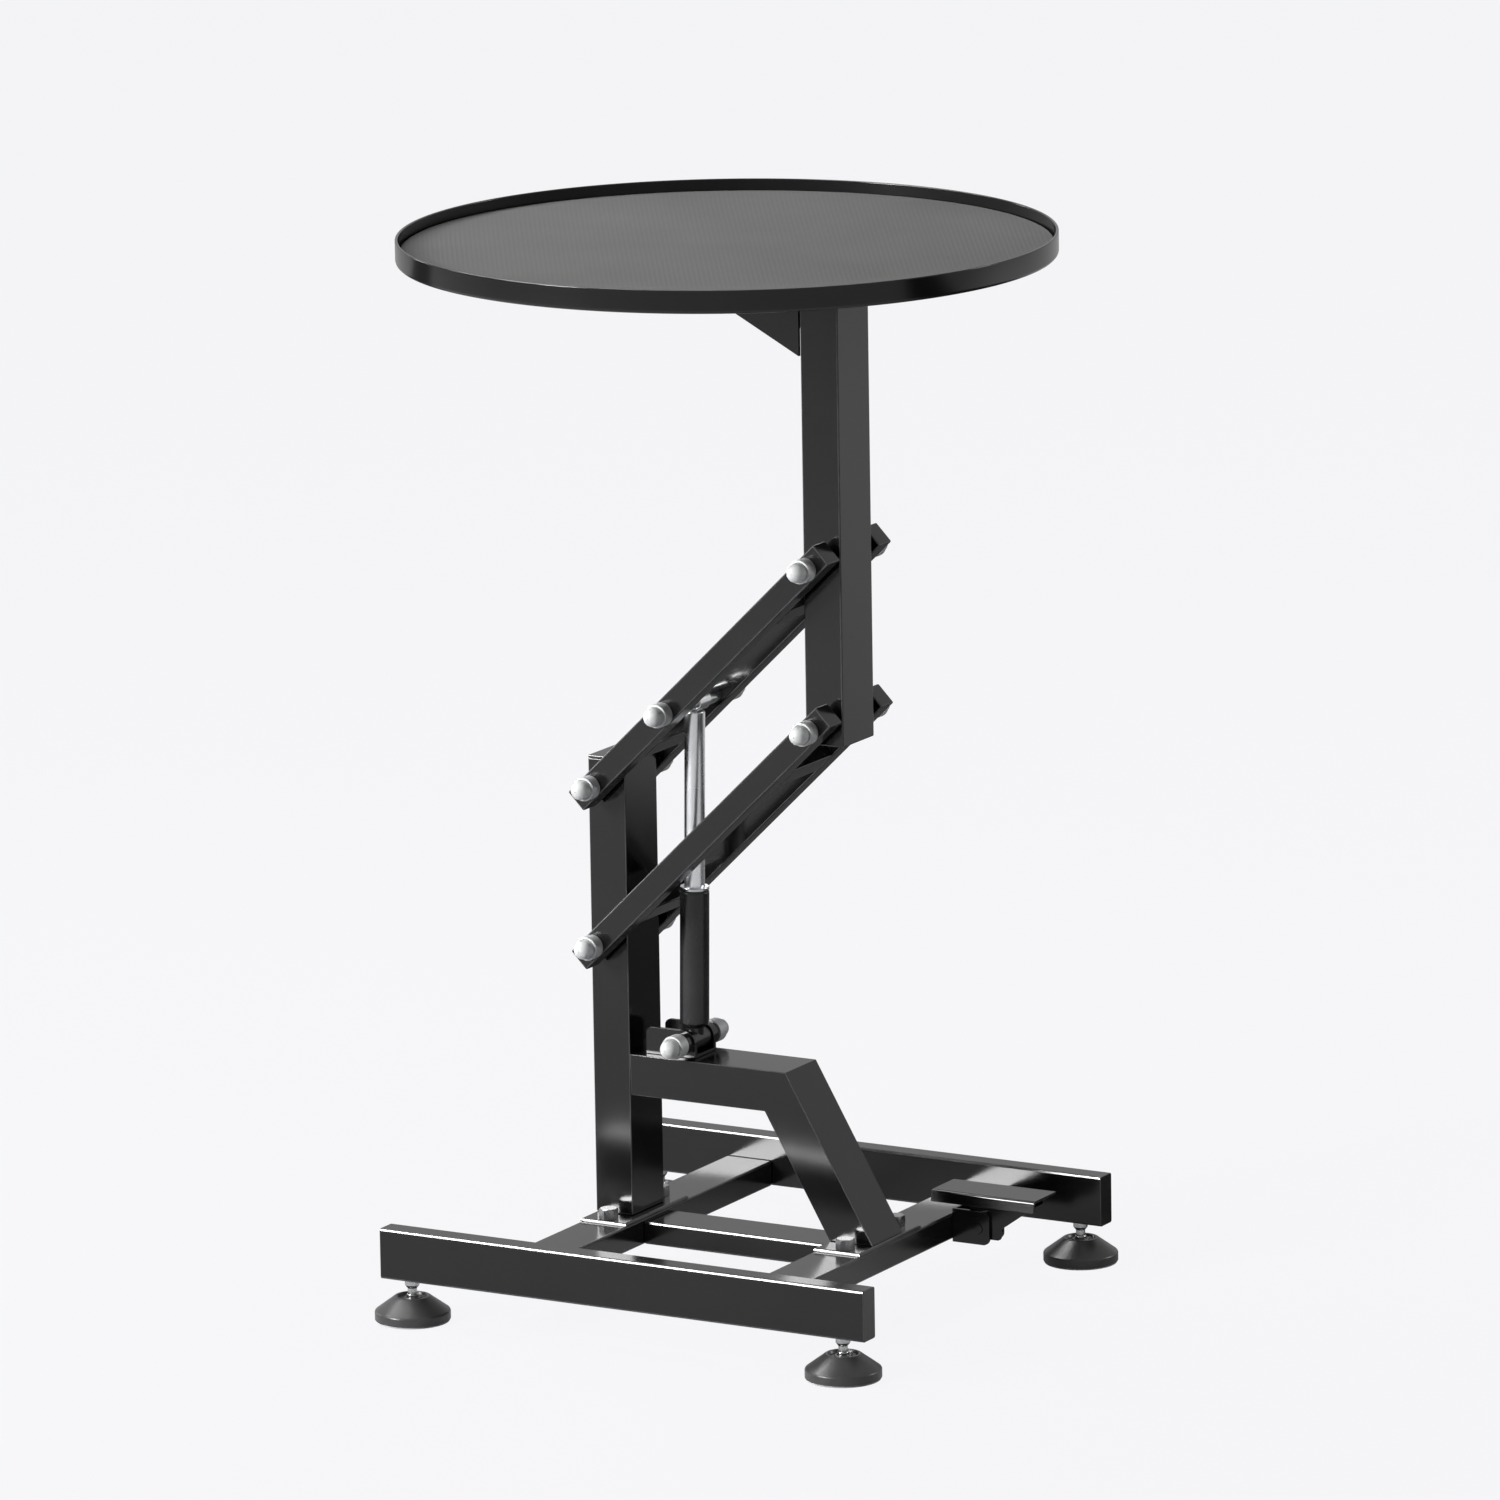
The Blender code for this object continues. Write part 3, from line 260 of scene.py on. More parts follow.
def turned(outline, steps=ROUND_STEPS):
    """Turn an outline of (radius, height, rounding) points about Z, and round the rings that ask for it."""
    bm = bmesh.new()
    dots = [bm.verts.new((radius, 0, height)) for radius, height, rounding in outline]
    lines = [bm.edges.new(pair) for pair in zip(dots, dots[1:])]
    if outline[0][0] > 0:
        lines.append(bm.edges.new((dots[-1], dots[0])))
    bmesh.ops.spin(bm, geom=dots + lines, cent=(0, 0, 0), axis=(0, 0, 1), angle=math.tau, steps=steps,
                   use_merge=True)
    bmesh.ops.remove_doubles(bm, verts=bm.verts, dist=SAME_SPOT)
    bmesh.ops.recalc_face_normals(bm, faces=bm.faces)
    for radius, height, rounding in outline:
        if rounding > 0:
            ring = [edge for edge in bm.edges if on_ring(edge, radius, height)]
            bmesh.ops.bevel(bm, geom=ring, offset=rounding, offset_type="OFFSET", segments=3, profile=0.5,
                            affect="EDGES", material=-1, clamp_overlap=True)
    return bm


def placed(bm, spot, turn=None):
    """Turn a shape about the origin, then move it to its spot."""
    if turn is not None:
        bmesh.ops.transform(bm, matrix=turn, verts=bm.verts)
    bmesh.ops.translate(bm, vec=spot, verts=bm.verts)
    return bm


def painted(bm, number, where):
    """Give the faces whose middle passes a test the material of that number."""
    for face in bm.faces:
        if where(face.calc_center_median()):
            face.material_index = number
    return bm


def make_piece(name, bm, materials, body, nodes, sharp=SOFT_ANGLE):
    """Make the shape a piece that rides on a body and stands for its CAD nodes."""
    mesh = bpy.data.meshes.new(name)
    bm.to_mesh(mesh)
    bm.free()
    for material in materials:
        mesh.materials.append(material)
    mesh.shade_smooth()
    mesh.set_sharp_from_angle(angle=math.radians(sharp))
    piece = bpy.data.objects.new(name, mesh)
    bpy.context.scene.collection.objects.link(piece)
    even = piece.modifiers.new("even_shading", "WEIGHTED_NORMAL")
    even.keep_sharp = True
    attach(piece, body)
    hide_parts(*nodes)
    return piece


GRIP_RADIUS = 0.0350
GRIP_TOP = 0.0015
PAD_RADIUS = 0.0360
PAD_RIM = 0.0099
PAD_TOP = 0.0242
WELL_FLOOR = 0.0214
SEAT_RING = 0.0228
STUD_FOOT = 0.0213
STUD_BASE = 0.0054
STUD_RADIUS = 0.0045
NUT_RADIUS = 0.0070
nut_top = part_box("rail_near")[0].z - 0.0002
for foot in ("foot_rear_near", "foot_rear_far", "foot_front_near", "foot_front_far"):
    low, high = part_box(foot + "_pad")
    middle = ((low.x + high.x) / 2, (low.y + high.y) / 2, 0)
    pad = turned([(0, 0, 0), (GRIP_RADIUS, 0, 0.0003), (GRIP_RADIUS, GRIP_TOP, 0),
                  (PAD_RADIUS, GRIP_TOP + 0.0002, 0.0003), (PAD_RADIUS, PAD_RIM, 0.0012),
                  (0.0166, PAD_TOP, 0.0007), (0.0145, PAD_TOP, 0.0005), (0.0132, WELL_FLOOR, 0.0004),
                  (0.0086, WELL_FLOOR, 0.0003), (0.0080, SEAT_RING, 0.0003), (0.0060, SEAT_RING, 0.0003),
                  (0.0056, WELL_FLOOR - 0.0002, 0), (0, WELL_FLOOR - 0.0002, 0)])
    painted(pad, 1, lambda spot: spot.z < GRIP_TOP + 0.0001)
    make_piece(foot + "_cone", placed(pad, middle), [pad_plastic, grip_rubber], foot, [foot + "_pad"])
    stud = turned([(0, STUD_FOOT, 0), (STUD_BASE, STUD_FOOT, 0), (STUD_BASE, 0.0256, 0.0006),
                   (STUD_RADIUS, 0.0262, 0), (STUD_RADIUS, 0.0316, 0.0002), (0.0060, 0.0332, 0.0003),
                   (NUT_RADIUS, 0.0346, 0.0005), (NUT_RADIUS, nut_top, 0.0003), (0, nut_top, 0)],
                  SMALL_STEPS)
    make_piece(foot + "_screw", placed(stud, middle), [stud_steel], foot, [foot + "_stud"])


# Floor frame: two box-section rails, two cross members and a spine between them, flush underneath, all
# powder-coated black after welding. The coat has cloudy gloss, a fine orange peel, and lighter edges:
# partly wear, partly a painted highlight.
COAT_DARK = (0.003, 0.003, 0.0032)
COAT_LIGHT = (0.0050, 0.0050, 0.0053)
COAT_EDGE_WEAR_AND_HIGHLIGHT = (0.06, 0.06, 0.063)
black_coat, tree, shader, place = node_material("black_powder_coat", {"Specular IOR Level": 0.5})
clouds = add_noise(tree, place, 9, 4)
coat_colour = blend_colour(tree, between(tree, clouds, 0, 1), COAT_DARK, COAT_LIGHT)
# The rounded edges are painted lighter: partly edge wear, partly a painted highlight along the edges.
worn_and_lit_edges = tree.nodes.new("ShaderNodeAttribute")
worn_and_lit_edges.attribute_name = "edge_wear_and_highlight"
wear_and_highlight_breakup = between(tree, add_noise(tree, place, 45, 4), 0.55, 1.0)
patchy_wear_and_highlight = arithmetic(tree, "MULTIPLY", worn_and_lit_edges.outputs["Fac"], wear_and_highlight_breakup)
tree.links.new(blend_colour(tree, patchy_wear_and_highlight, coat_colour, COAT_EDGE_WEAR_AND_HIGHLIGHT), shader.inputs["Base Color"])
tree.links.new(between(tree, clouds, 0.14, 0.17), shader.inputs["Roughness"])
add_bump(tree, shader, add_noise(tree, place, 650, 2), 0.06, 0.00003)

EDGE_ROUND = 0.0015
EDGE_STEPS = 3
RAIL_ROUND = 0.0021
CROSS_ROUND = 0.0020
CUT_END_ROUND = 0.0006
FLAT_STEPS = 2
CRISP_ANGLE = 20
NARROW = 1.6
HAIR = 0.00001


def rounded(bm, width, steps=EDGE_STEPS, edges=None):
    """Round some or all edges of a square-cut shape, and mark the narrow faces there for edge wear and a
    painted edge highlight.
    """
    bmesh.ops.bevel(bm, geom=edges or bm.edges[:], offset=width, offset_type="OFFSET", segments=steps,
                    profile=0.5, affect="EDGES", material=-1, clamp_overlap=True)
    wear_and_highlight_mark = bm.faces.layers.float.get("edge_wear_and_highlight") or bm.faces.layers.float.new("edge_wear_and_highlight")
    for face in bm.faces:
        longest = max(edge.calc_length() for edge in face.edges)
        if face.calc_area() / longest < NARROW * width:
            face[wear_and_highlight_mark] = 1
    return bm


def block(low, high):
    """A square-cut block between two corners."""
    bm = bmesh.new()
    bmesh.ops.create_cube(bm, size=1)
    bmesh.ops.scale(bm, vec=high - low, verts=bm.verts)
    bmesh.ops.translate(bm, vec=(low + high) / 2, verts=bm.verts)
    return bm


def box_section(low, high, width=EDGE_ROUND, steps=EDGE_STEPS, ends=None):
    """A closed length of box section between two corners, its cut ends with their own rounding if asked."""
    low = Vector(low)
    high = Vector(high)
    bm = block(low, high)
    if ends is None:
        return rounded(bm, width, steps)
    size = high - low
    longest = max(size)
    axis = list(size).index(longest)
    rounded(bm, width, steps, [edge for edge in bm.edges if edge.calc_length() > longest - HAIR])
    cut_ends = [edge for edge in bm.edges if abs(edge.verts[0].co[axis] - edge.verts[1].co[axis]) < HAIR]
    return rounded(bm, ends, FLAT_STEPS, cut_ends)


for node in ("rail_near", "rail_far", "spine"):
    tube = box_section(*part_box(node), RAIL_ROUND, FLAT_STEPS, CUT_END_ROUND)
    make_piece(node + "_tube", tube, [black_coat], "base", [node], CRISP_ANGLE)
for node in ("cross_rear", "cross_front"):
    tube = box_section(*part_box(node), CROSS_ROUND)
    make_piece(node + "_tube", tube, [black_coat], "base", [node])


# Plates under the column and the strut: 3 mm flat bar, coated with the frame, its top edges rounded, each
# held down on its cross member by two plated hexagon bolts with chamfered heads.
WELD = 0.000001


def overlap(first, second):
    """The shape that two closed shapes have in common."""
    pair = []
    for bm in (first, second):
        mesh = bpy.data.meshes.new("spare")
        bm.to_mesh(mesh)
        bm.free()
        spare = bpy.data.objects.new("spare", mesh)
        bpy.context.scene.collection.objects.link(spare)
        pair.append(spare)
    boolean = pair[0].modifiers.new("overlap", "BOOLEAN")
    boolean.operation = "INTERSECT"
    boolean.solver = "EXACT"
    boolean.object = pair[1]
    result = bmesh.new()
    result.from_mesh(pair[0].evaluated_get(bpy.context.evaluated_depsgraph_get()).to_mesh())
    for spare in pair:
        mesh = spare.data
        bpy.data.objects.remove(spare)
        bpy.data.meshes.remove(mesh)
    bmesh.ops.remove_doubles(result, verts=result.verts, dist=WELD)
    return result


PLATE_ROUND = 0.0020
for node in ("plate_rear", "plate_front"):
    low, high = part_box(node)
    plate = block(low, high)
    top_edges = [edge for edge in plate.edges if min(vert.co.z for vert in edge.verts) > high.z - HAIR]
    rounded(plate, PLATE_ROUND, FLAT_STEPS, top_edges)
    make_piece(node + "_bar", plate, [black_coat], "base", [node], CRISP_ANGLE)

CHAMFER_DROP = 0.0020
CHAMFER_REACH = 0.0110
bolt_steel = grained("bolt_steel", (0.34, 0.345, 0.35), (0.44, 0.445, 0.45), (0.24, 0.30),
                     patch=160, grain=1800, depth=0.00003, Metallic=1.0)
for node in ("rear_bolt_near", "rear_bolt_far", "front_bolt_near", "front_bolt_far"):
    low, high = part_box(node)
    tall = high.z - low.z
    flats = min(high.x - low.x, high.y - low.y)
    head = bmesh.new()
    bmesh.ops.create_cone(head, cap_ends=True, segments=6, radius1=flats / math.sqrt(3),
                          radius2=flats / math.sqrt(3), depth=tall)
    placed(head, (0, 0, tall / 2))
    chamfer = turned([(0, -0.001, 0), (CHAMFER_REACH, -0.001, 0), (CHAMFER_REACH, tall - CHAMFER_DROP, 0),
                      (flats / 2 - 0.0002, tall, 0), (0, tall, 0)], SMALL_STEPS)
    head = placed(overlap(head, chamfer), ((low.x + high.x) / 2, (low.y + high.y) / 2, low.z))
    make_piece(node + "_head", head, [bolt_steel], "base", [node], CRISP_ANGLE)


# Column: 60 x 40 mm box section that stands on the rear plate, closed by a bevelled cap, with a round sleeve
# welded through it for each arm's pivot bolt.
joints = {joint["name"]: joint for joint in frame["joints"]}
UPPER_PIVOT = Vector(joints["lift"]["pos_m"])
LOWER_PIVOT = Vector(joints["lower_arm_swing"]["pos_m"])
POST_HALF_X = 0.020
POST_HALF_Y = 0.030
COLUMN_ROUND = 0.0010
LID_ROUND = 0.0009
SLEEVE_BORE = 0.0052
SLEEVE_RADIUS = 0.0090


def joined(first, *others):
    """Several closed shapes in one bmesh."""
    for other in others:
        spare = bpy.data.meshes.new("spare")
        other.to_mesh(spare)
        other.free()
        first.from_mesh(spare)
        bpy.data.meshes.remove(spare)
    return first


def facing(side):
    """The turn that brings Z to the near side of the table, -1, or to its far side, 1."""
    return Matrix.Rotation(-side * math.pi / 2, 4, "X")


def sleeves(spots, reach):
    """Round pivot sleeves along Y, as one shape."""
    tubes = []
    for spot in spots:
        tube = turned([(SLEEVE_BORE, -reach, 0), (SLEEVE_RADIUS, -reach, 0.0006),
                       (SLEEVE_RADIUS, reach, 0.0006), (SLEEVE_BORE, reach, 0)], SMALL_STEPS)
        tubes.append(placed(tube, spot, facing(-1)))
    return joined(*tubes)


column_low, column_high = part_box("column")
column = joined(box_section((UPPER_PIVOT.x - POST_HALF_X, -POST_HALF_Y, column_low.z),
                            (UPPER_PIVOT.x + POST_HALF_X, POST_HALF_Y, column_high.z), COLUMN_ROUND),
                sleeves([UPPER_PIVOT, LOWER_PIVOT], column_high.y))
make_piece("column_post", column, [black_coat], "base", ["column"])
lid = box_section(*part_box("column_cap"), LID_ROUND)
make_piece("column_lid", lid, [black_coat], "base", ["column_cap"])


# Knee strut: the same box section, mitred and welded, level from the column's front face and then down to
# the front plate. The clevis of the gas spring stands on its level part.
strut_low, strut_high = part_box("strut")
STRUT_HEIGHT = 0.040
STRUT_LEAN = math.radians(60)
STRUT_ROUND = 0.0007
foot_half = STRUT_HEIGHT / 2 / math.sin(STRUT_LEAN)
foot_middle = strut_high.x - foot_half
knee_drop = strut_high.z - STRUT_HEIGHT - strut_low.z
inner_knee = (foot_middle - foot_half - knee_drop / math.tan(STRUT_LEAN), strut_high.z - STRUT_HEIGHT)
outer_knee = (strut_high.x - (strut_high.z - strut_low.z) / math.tan(STRUT_LEAN), strut_high.z)


def pressed(outline, start, end, along="Y"):
    """Extrude a closed outline along one axis. Its points give the other two axes, in alphabetical order."""
    axis = "XYZ".index(along)
    bm = bmesh.new()
    corners = []
    for spot in outline:
        corner = list(spot)
        corner.insert(axis, start)
        corners.append(bm.verts.new(corner))
    swept = bmesh.ops.extrude_face_region(bm, geom=[bm.faces.new(corners)])
    way = Vector((0, 0, 0))
    way[axis] = end - start
    far_end = [item for item in swept["geom"] if isinstance(item, bmesh.types.BMVert)]
    bmesh.ops.translate(bm, vec=way, verts=far_end)
    bmesh.ops.recalc_face_normals(bm, faces=bm.faces)
    return bm


strut = pressed([(strut_low.x, inner_knee[1]), inner_knee, (foot_middle - foot_half, strut_low.z),
                 (foot_middle + foot_half, strut_low.z), outer_knee, (strut_low.x, strut_high.z)],
                -POST_HALF_Y, POST_HALF_Y)
long_edges = [edge for edge in strut.edges if edge.verts[0].co.y * edge.verts[1].co.y > 0]
rounded(strut, STRUT_ROUND, FLAT_STEPS, long_edges)
make_piece("strut_tube", strut, [black_coat], "base", ["strut"])


# Clevis: a U bracket with a 3 mm floor and 4 mm round-nosed ears either side of the gas spring, and a turned
# boss on the outside of each ear, where the pivot bolt and its nut seat. It is coated with the frame.
GAS_BASE = Vector(joints["gas_tilt"]["pos_m"])
EAR_NOSE = 0.012
EAR_OUTER = 0.020
EAR_INNER = 0.016
EAR_CORNER = 0.006
CLEVIS_FLOOR = 0.003
BOSS_RADIUS = 0.0100
BOSS_LENGTH = 0.0105
BOSS_SEAT = EAR_OUTER - 0.0005
CUT_MARGIN = 0.001
CUT_REACH = 0.03
EDGE_BREAK = 0.0004
clevis_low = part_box("clevis")[0]
ear_top = GAS_BASE.z + EAR_NOSE
ear_front = GAS_BASE.x + EAR_NOSE
floor_top = clevis_low.z + CLEVIS_FLOOR


def arc(middle, radius, start, end, steps):
    """Points on an arc about a middle, from one angle in degrees to another, both ends included."""
    angles = [math.radians(start + (end - start) * step / steps) for step in range(steps + 1)]
    return [(middle[0] + radius * math.cos(angle), middle[1] + radius * math.sin(angle)) for angle in angles]


def break_edges(piece, segments):
    """Break the sharp edges of a sheet piece, before its shading is evened."""
    broken = piece.modifiers.new("broken_edges", "BEVEL")
    broken.width = EDGE_BREAK
    broken.segments = segments
    broken.limit_method = "ANGLE"
    broken.angle_limit = math.radians(50)
    piece.modifiers.move(1, 0)


channel = pressed([(-EAR_OUTER, clevis_low.z), (EAR_OUTER, clevis_low.z), (EAR_OUTER, ear_top),
                   (EAR_INNER, ear_top), (EAR_INNER, floor_top), (-EAR_INNER, floor_top),
                   (-EAR_INNER, ear_top), (-EAR_OUTER, ear_top)], clevis_low.x, ear_front, "X")
side_view = [(clevis_low.x - CUT_MARGIN, clevis_low.z - CUT_MARGIN), (ear_front, clevis_low.z - CUT_MARGIN)]
side_view += arc((GAS_BASE.x, GAS_BASE.z), EAR_NOSE, 0, 90, 12)
side_view += arc((clevis_low.x + EAR_CORNER, ear_top - EAR_CORNER), EAR_CORNER, 90, 180, 8)[:-1]
side_view.append((clevis_low.x - CUT_MARGIN, ear_top - EAR_CORNER))
clevis = overlap(channel, pressed(side_view, -CUT_REACH, CUT_REACH))
bosses = []
for side in (-1, 1):
    boss = turned([(SLEEVE_BORE, 0, 0), (BOSS_RADIUS, 0, 0), (BOSS_RADIUS, BOSS_LENGTH, 0.0008),
                   (SLEEVE_BORE, BOSS_LENGTH, 0)], SMALL_STEPS)
    bosses.append(placed(boss, (GAS_BASE.x, side * BOSS_SEAT, GAS_BASE.z), facing(side)))
break_edges(make_piece("clevis_bracket", joined(clevis, *bosses), [black_coat], "base", ["clevis"]), 2)


# Lift arms: each is a pair of 23.5 mm square tubes joined by two short ties and coated with the frame. The
# upper arm also carries the gas spring's top bolt.
ARM_ANGLE = math.radians(44.05)
ARM_LENGTH = 0.330
TUBE = 0.0235
OVERHANG = 0.0225
BAR_INNER_Y = 0.0378
TIE_REACH = BAR_INNER_Y - 0.0003
TOP_TIE = 0.266
BASE_TIE_UPPER = 0.06325
BASE_TIE_LOWER = 0.05575
SIDES = (("near", -1), ("far", 1))


def arm_section(start, end, low_y, high_y, pivot):
    """A length of the square tube, given along and across the arm, turned to the arm's slope."""
    tube = box_section((start, low_y, -TUBE / 2), (end, high_y, TUBE / 2))
    return placed(tube, pivot, Matrix.Rotation(-ARM_ANGLE, 4, "Y"))


for arm, pivot, base_tie in (("upper", UPPER_PIVOT, BASE_TIE_UPPER),
                             ("lower", LOWER_PIVOT, BASE_TIE_LOWER)):
    body = arm + "_arm"
    for word, side in SIDES:
        low_y, high_y = sorted((side * BAR_INNER_Y, side * (BAR_INNER_Y + TUBE)))
        bar = arm_section(-OVERHANG, ARM_LENGTH + OVERHANG, low_y, high_y, pivot)
        make_piece(f"{arm}_arm_tube_{word}", bar, [black_coat], body, [f"{arm}_bar_{word}"])
    for word, station in (("base", base_tie), ("top", TOP_TIE)):
        tie = arm_section(station - TUBE / 2, station + TUBE / 2, -TIE_REACH, TIE_REACH, pivot)
        make_piece(f"{arm}_arm_tie_{word}", tie, [black_coat], body, [f"{arm}_tie_{word}"])


# Mast: 60 x 40 mm box section, closed at its foot, with the arms' pivot sleeves welded through it. It stays
# upright as the two arms swing, and carries the tray on its top.
mast_low, mast_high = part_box("mast")
ALONG_ARM = Vector((math.cos(ARM_ANGLE), 0, math.sin(ARM_ANGLE)))
MAST_TOP_PIVOT = UPPER_PIVOT + ARM_LENGTH * ALONG_ARM
MAST_LOW_PIVOT = LOWER_PIVOT + ARM_LENGTH * ALONG_ARM
mast = joined(box_section((MAST_TOP_PIVOT.x - POST_HALF_X, -POST_HALF_Y, mast_low.z),
                          (MAST_TOP_PIVOT.x + POST_HALF_X, POST_HALF_Y, mast_high.z)),
              sleeves([MAST_TOP_PIVOT, MAST_LOW_PIVOT], mast_high.y))
make_piece("mast_post", mast, [black_coat], "mast", ["mast"])


# Pivot bolts: a plated shank through each pivot, with a light grey dome cap screwed on each end. A cap is a
# plain collar with a separate dome set in it, and a small gate mark at the middle of the dome.
light_cap = grained("light_cap", (0.46, 0.47, 0.47), (0.54, 0.55, 0.55), (0.52, 0.60),
                    patch=200, grain=1600, depth=0.00001)
collar_grey = grained("collar_grey", (0.44, 0.445, 0.45), (0.52, 0.525, 0.53), (0.48, 0.56),
                      patch=200, grain=1600, depth=0.00001, Metallic=0.2)
zinc = grained("zinc_plate", (0.55, 0.56, 0.58), (0.72, 0.73, 0.74), (0.16, 0.26),
               patch=140, grain=2200, depth=0.00002, Metallic=1.0)
COLLAR_BORE = 0.0050
COLLAR_RADIUS = 0.0114
COLLAR_LENGTH = 0.0130
COLLAR_SEAT = 0.0003
DOME_RADIUS = 0.0090
DOME_RISE = 0.0045
DOME_GAP = 0.0004
SHANK_RADIUS = 0.0049
SHANK_END = 0.008
GATE_RADIUS = 0.0006
SHANK_STEPS = 48


def dome_cap(shank):
    """A dome cap along Z, seated at zero, with a shank of that length behind it."""
    front = COLLAR_SEAT + COLLAR_LENGTH
    centre = front + DOME_RISE
    collar = turned([(COLLAR_BORE, COLLAR_SEAT, 0), (COLLAR_RADIUS, COLLAR_SEAT, 0.0004),
                     (COLLAR_RADIUS, front, 0.0009), (DOME_RADIUS + DOME_GAP, front, 0.0002),
                     (DOME_RADIUS + DOME_GAP, front - 0.0010, 0), (COLLAR_BORE, front - 0.0010, 0)])
    outline = [(0, front - 0.0012, 0), (DOME_RADIUS, front - 0.0012, 0)]
    outline += [(radius, height, 0) for radius, height in arc((0, centre), DOME_RADIUS, 0, 86, 23)]
    gate = centre + DOME_RADIUS - 0.0004
    outline += [(GATE_RADIUS, gate, 0), (0, gate, 0)]
    parts = [collar, painted(turned(outline), 1, lambda spot: True)]
    if shank > 0:
        rod = turned([(0, -shank, 0), (SHANK_RADIUS, -shank, 0.0004), (SHANK_RADIUS, COLLAR_SEAT, 0),
                      (0, COLLAR_SEAT, 0)], SHANK_STEPS)
        parts.append(painted(rod, 2, lambda spot: True))
    return joined(*parts)


def pivot_bolt(name, spot, seat, body):
    """A bolt across the table: its cap on the near side, its nut on the far side."""
    near = placed(dome_cap(2 * seat + SHANK_END), (spot.x, -seat, spot.z), facing(-1))
    make_piece(name + "_bolt_cap", near, [collar_grey, light_cap, zinc], body, [name + "_bolt"])
    far = placed(dome_cap(0), (spot.x, seat, spot.z), facing(1))
    make_piece(name + "_nut_cap", far, [collar_grey, light_cap, zinc], body, [name + "_nut"])


ARM_SEAT = BAR_INNER_Y + TUBE
CLEVIS_SEAT = 0.030
GAS_STATION = 0.112
GAS_TOP = UPPER_PIVOT + GAS_STATION * ALONG_ARM
pivot_bolt("upper_base", UPPER_PIVOT, ARM_SEAT, "upper_arm")
pivot_bolt("gas_top", GAS_TOP, ARM_SEAT, "upper_arm")
pivot_bolt("upper_top", MAST_TOP_PIVOT, ARM_SEAT, "upper_arm")
pivot_bolt("lower_base", LOWER_PIVOT, ARM_SEAT, "lower_arm")
pivot_bolt("lower_top", MAST_LOW_PIVOT, ARM_SEAT, "lower_arm")
pivot_bolt("gas_base", GAS_BASE, CLEVIS_SEAT, "base")


# Gas spring: a black painted cylinder with a polished gland ring at its mouth, and a hard-chromed rod whose
# eye hangs on the arm's top bolt between two turned steel spacers. A lower eye pivots in the clevis.
GAS_LEAN = math.radians(1.135)
ALONG_GAS = Matrix.Rotation(GAS_LEAN, 4, "Y")
NECK_FOOT = 0.004
NECK_RADIUS = 0.0088
CYLINDER_RADIUS = 0.0140
CYLINDER_MOUTH = 0.1495
GROOVE_RADIUS = 0.0134
BORE_RADIUS = 0.0101
BORE_FLOOR = 0.0300
LOWER_EYE_BORE = 0.0051
LOWER_EYE_RADIUS = 0.0100
LOWER_EYE_HALF = 0.0155
chrome = grained("hard_chrome", (0.78, 0.79, 0.80), (0.86, 0.87, 0.88), (0.24, 0.30),
                 patch=30, grain=900, depth=0.000005, Metallic=1.0)
cylinder_paint = grained("cylinder_paint", (0.012, 0.012, 0.013), (0.018, 0.018, 0.019), (0.20, 0.27),
                         patch=20, grain=900, depth=0.00002)
cylinder = turned([(0, NECK_FOOT, 0), (NECK_RADIUS, NECK_FOOT, 0), (NECK_RADIUS, 0.0125, 0.0004),
                   (0.0110, 0.0128, 0), (CYLINDER_RADIUS, 0.0165, 0.0012),
                   (CYLINDER_RADIUS, CYLINDER_MOUTH - 0.0050, 0.0004),
                   (GROOVE_RADIUS, CYLINDER_MOUTH - 0.0046, 0), (GROOVE_RADIUS, CYLINDER_MOUTH - 0.0030, 0),
                   (CYLINDER_RADIUS, CYLINDER_MOUTH - 0.0028, 0.0003),
                   (CYLINDER_RADIUS, CYLINDER_MOUTH, 0.0008), (BORE_RADIUS, CYLINDER_MOUTH, 0.0003),
                   (BORE_RADIUS, BORE_FLOOR, 0), (0, BORE_FLOOR, 0)])
painted(cylinder, 1, lambda spot: spot.z > CYLINDER_MOUTH - 0.0029)
lower_eye = turned([(LOWER_EYE_BORE, -LOWER_EYE_HALF, 0), (LOWER_EYE_RADIUS, -LOWER_EYE_HALF, 0.0006),
                    (LOWER_EYE_RADIUS, LOWER_EYE_HALF, 0.0006), (LOWER_EYE_BORE, LOWER_EYE_HALF, 0)],
                   SMALL_STEPS)
placed(lower_eye, (0, 0, 0), facing(-1))
make_piece("gas_cylinder_tube", placed(joined(cylinder, lower_eye), GAS_BASE, ALONG_GAS),
           [cylinder_paint, zinc], "gas_cylinder", ["gas_cylinder"])

ROD_RADIUS = 0.0098
ROD_FOOT = 0.1135
EYE_RADIUS = 0.0101
EYE_BORE = 0.0082
EYE_HALF = 0.0098
EYE_ACROSS = 0.00226
EYE_BEYOND = 0.00174
eye_along = (GAS_TOP - GAS_BASE).length + EYE_BEYOND
rod_end = eye_along - EYE_RADIUS - 0.0003
rod = turned([(0, ROD_FOOT, 0), (ROD_RADIUS, ROD_FOOT, 0.0008), (ROD_RADIUS, rod_end, 0.0010),
              (0, rod_end, 0)])
make_piece("gas_rod_shaft", placed(rod, GAS_BASE, ALONG_GAS), [chrome], "gas_rod", ["gas_rod"])
eye = turned([(EYE_BORE, -EYE_HALF, 0.0003), (EYE_RADIUS, -EYE_HALF, 0.0005),
              (EYE_RADIUS, EYE_HALF, 0.0005), (EYE_BORE, EYE_HALF, 0.0003)])
placed(eye, (EYE_ACROSS, 0, eye_along), facing(-1))
make_piece("gas_rod_eye", placed(eye, GAS_BASE, ALONG_GAS), [chrome], "gas_rod", ["gas_eye"])

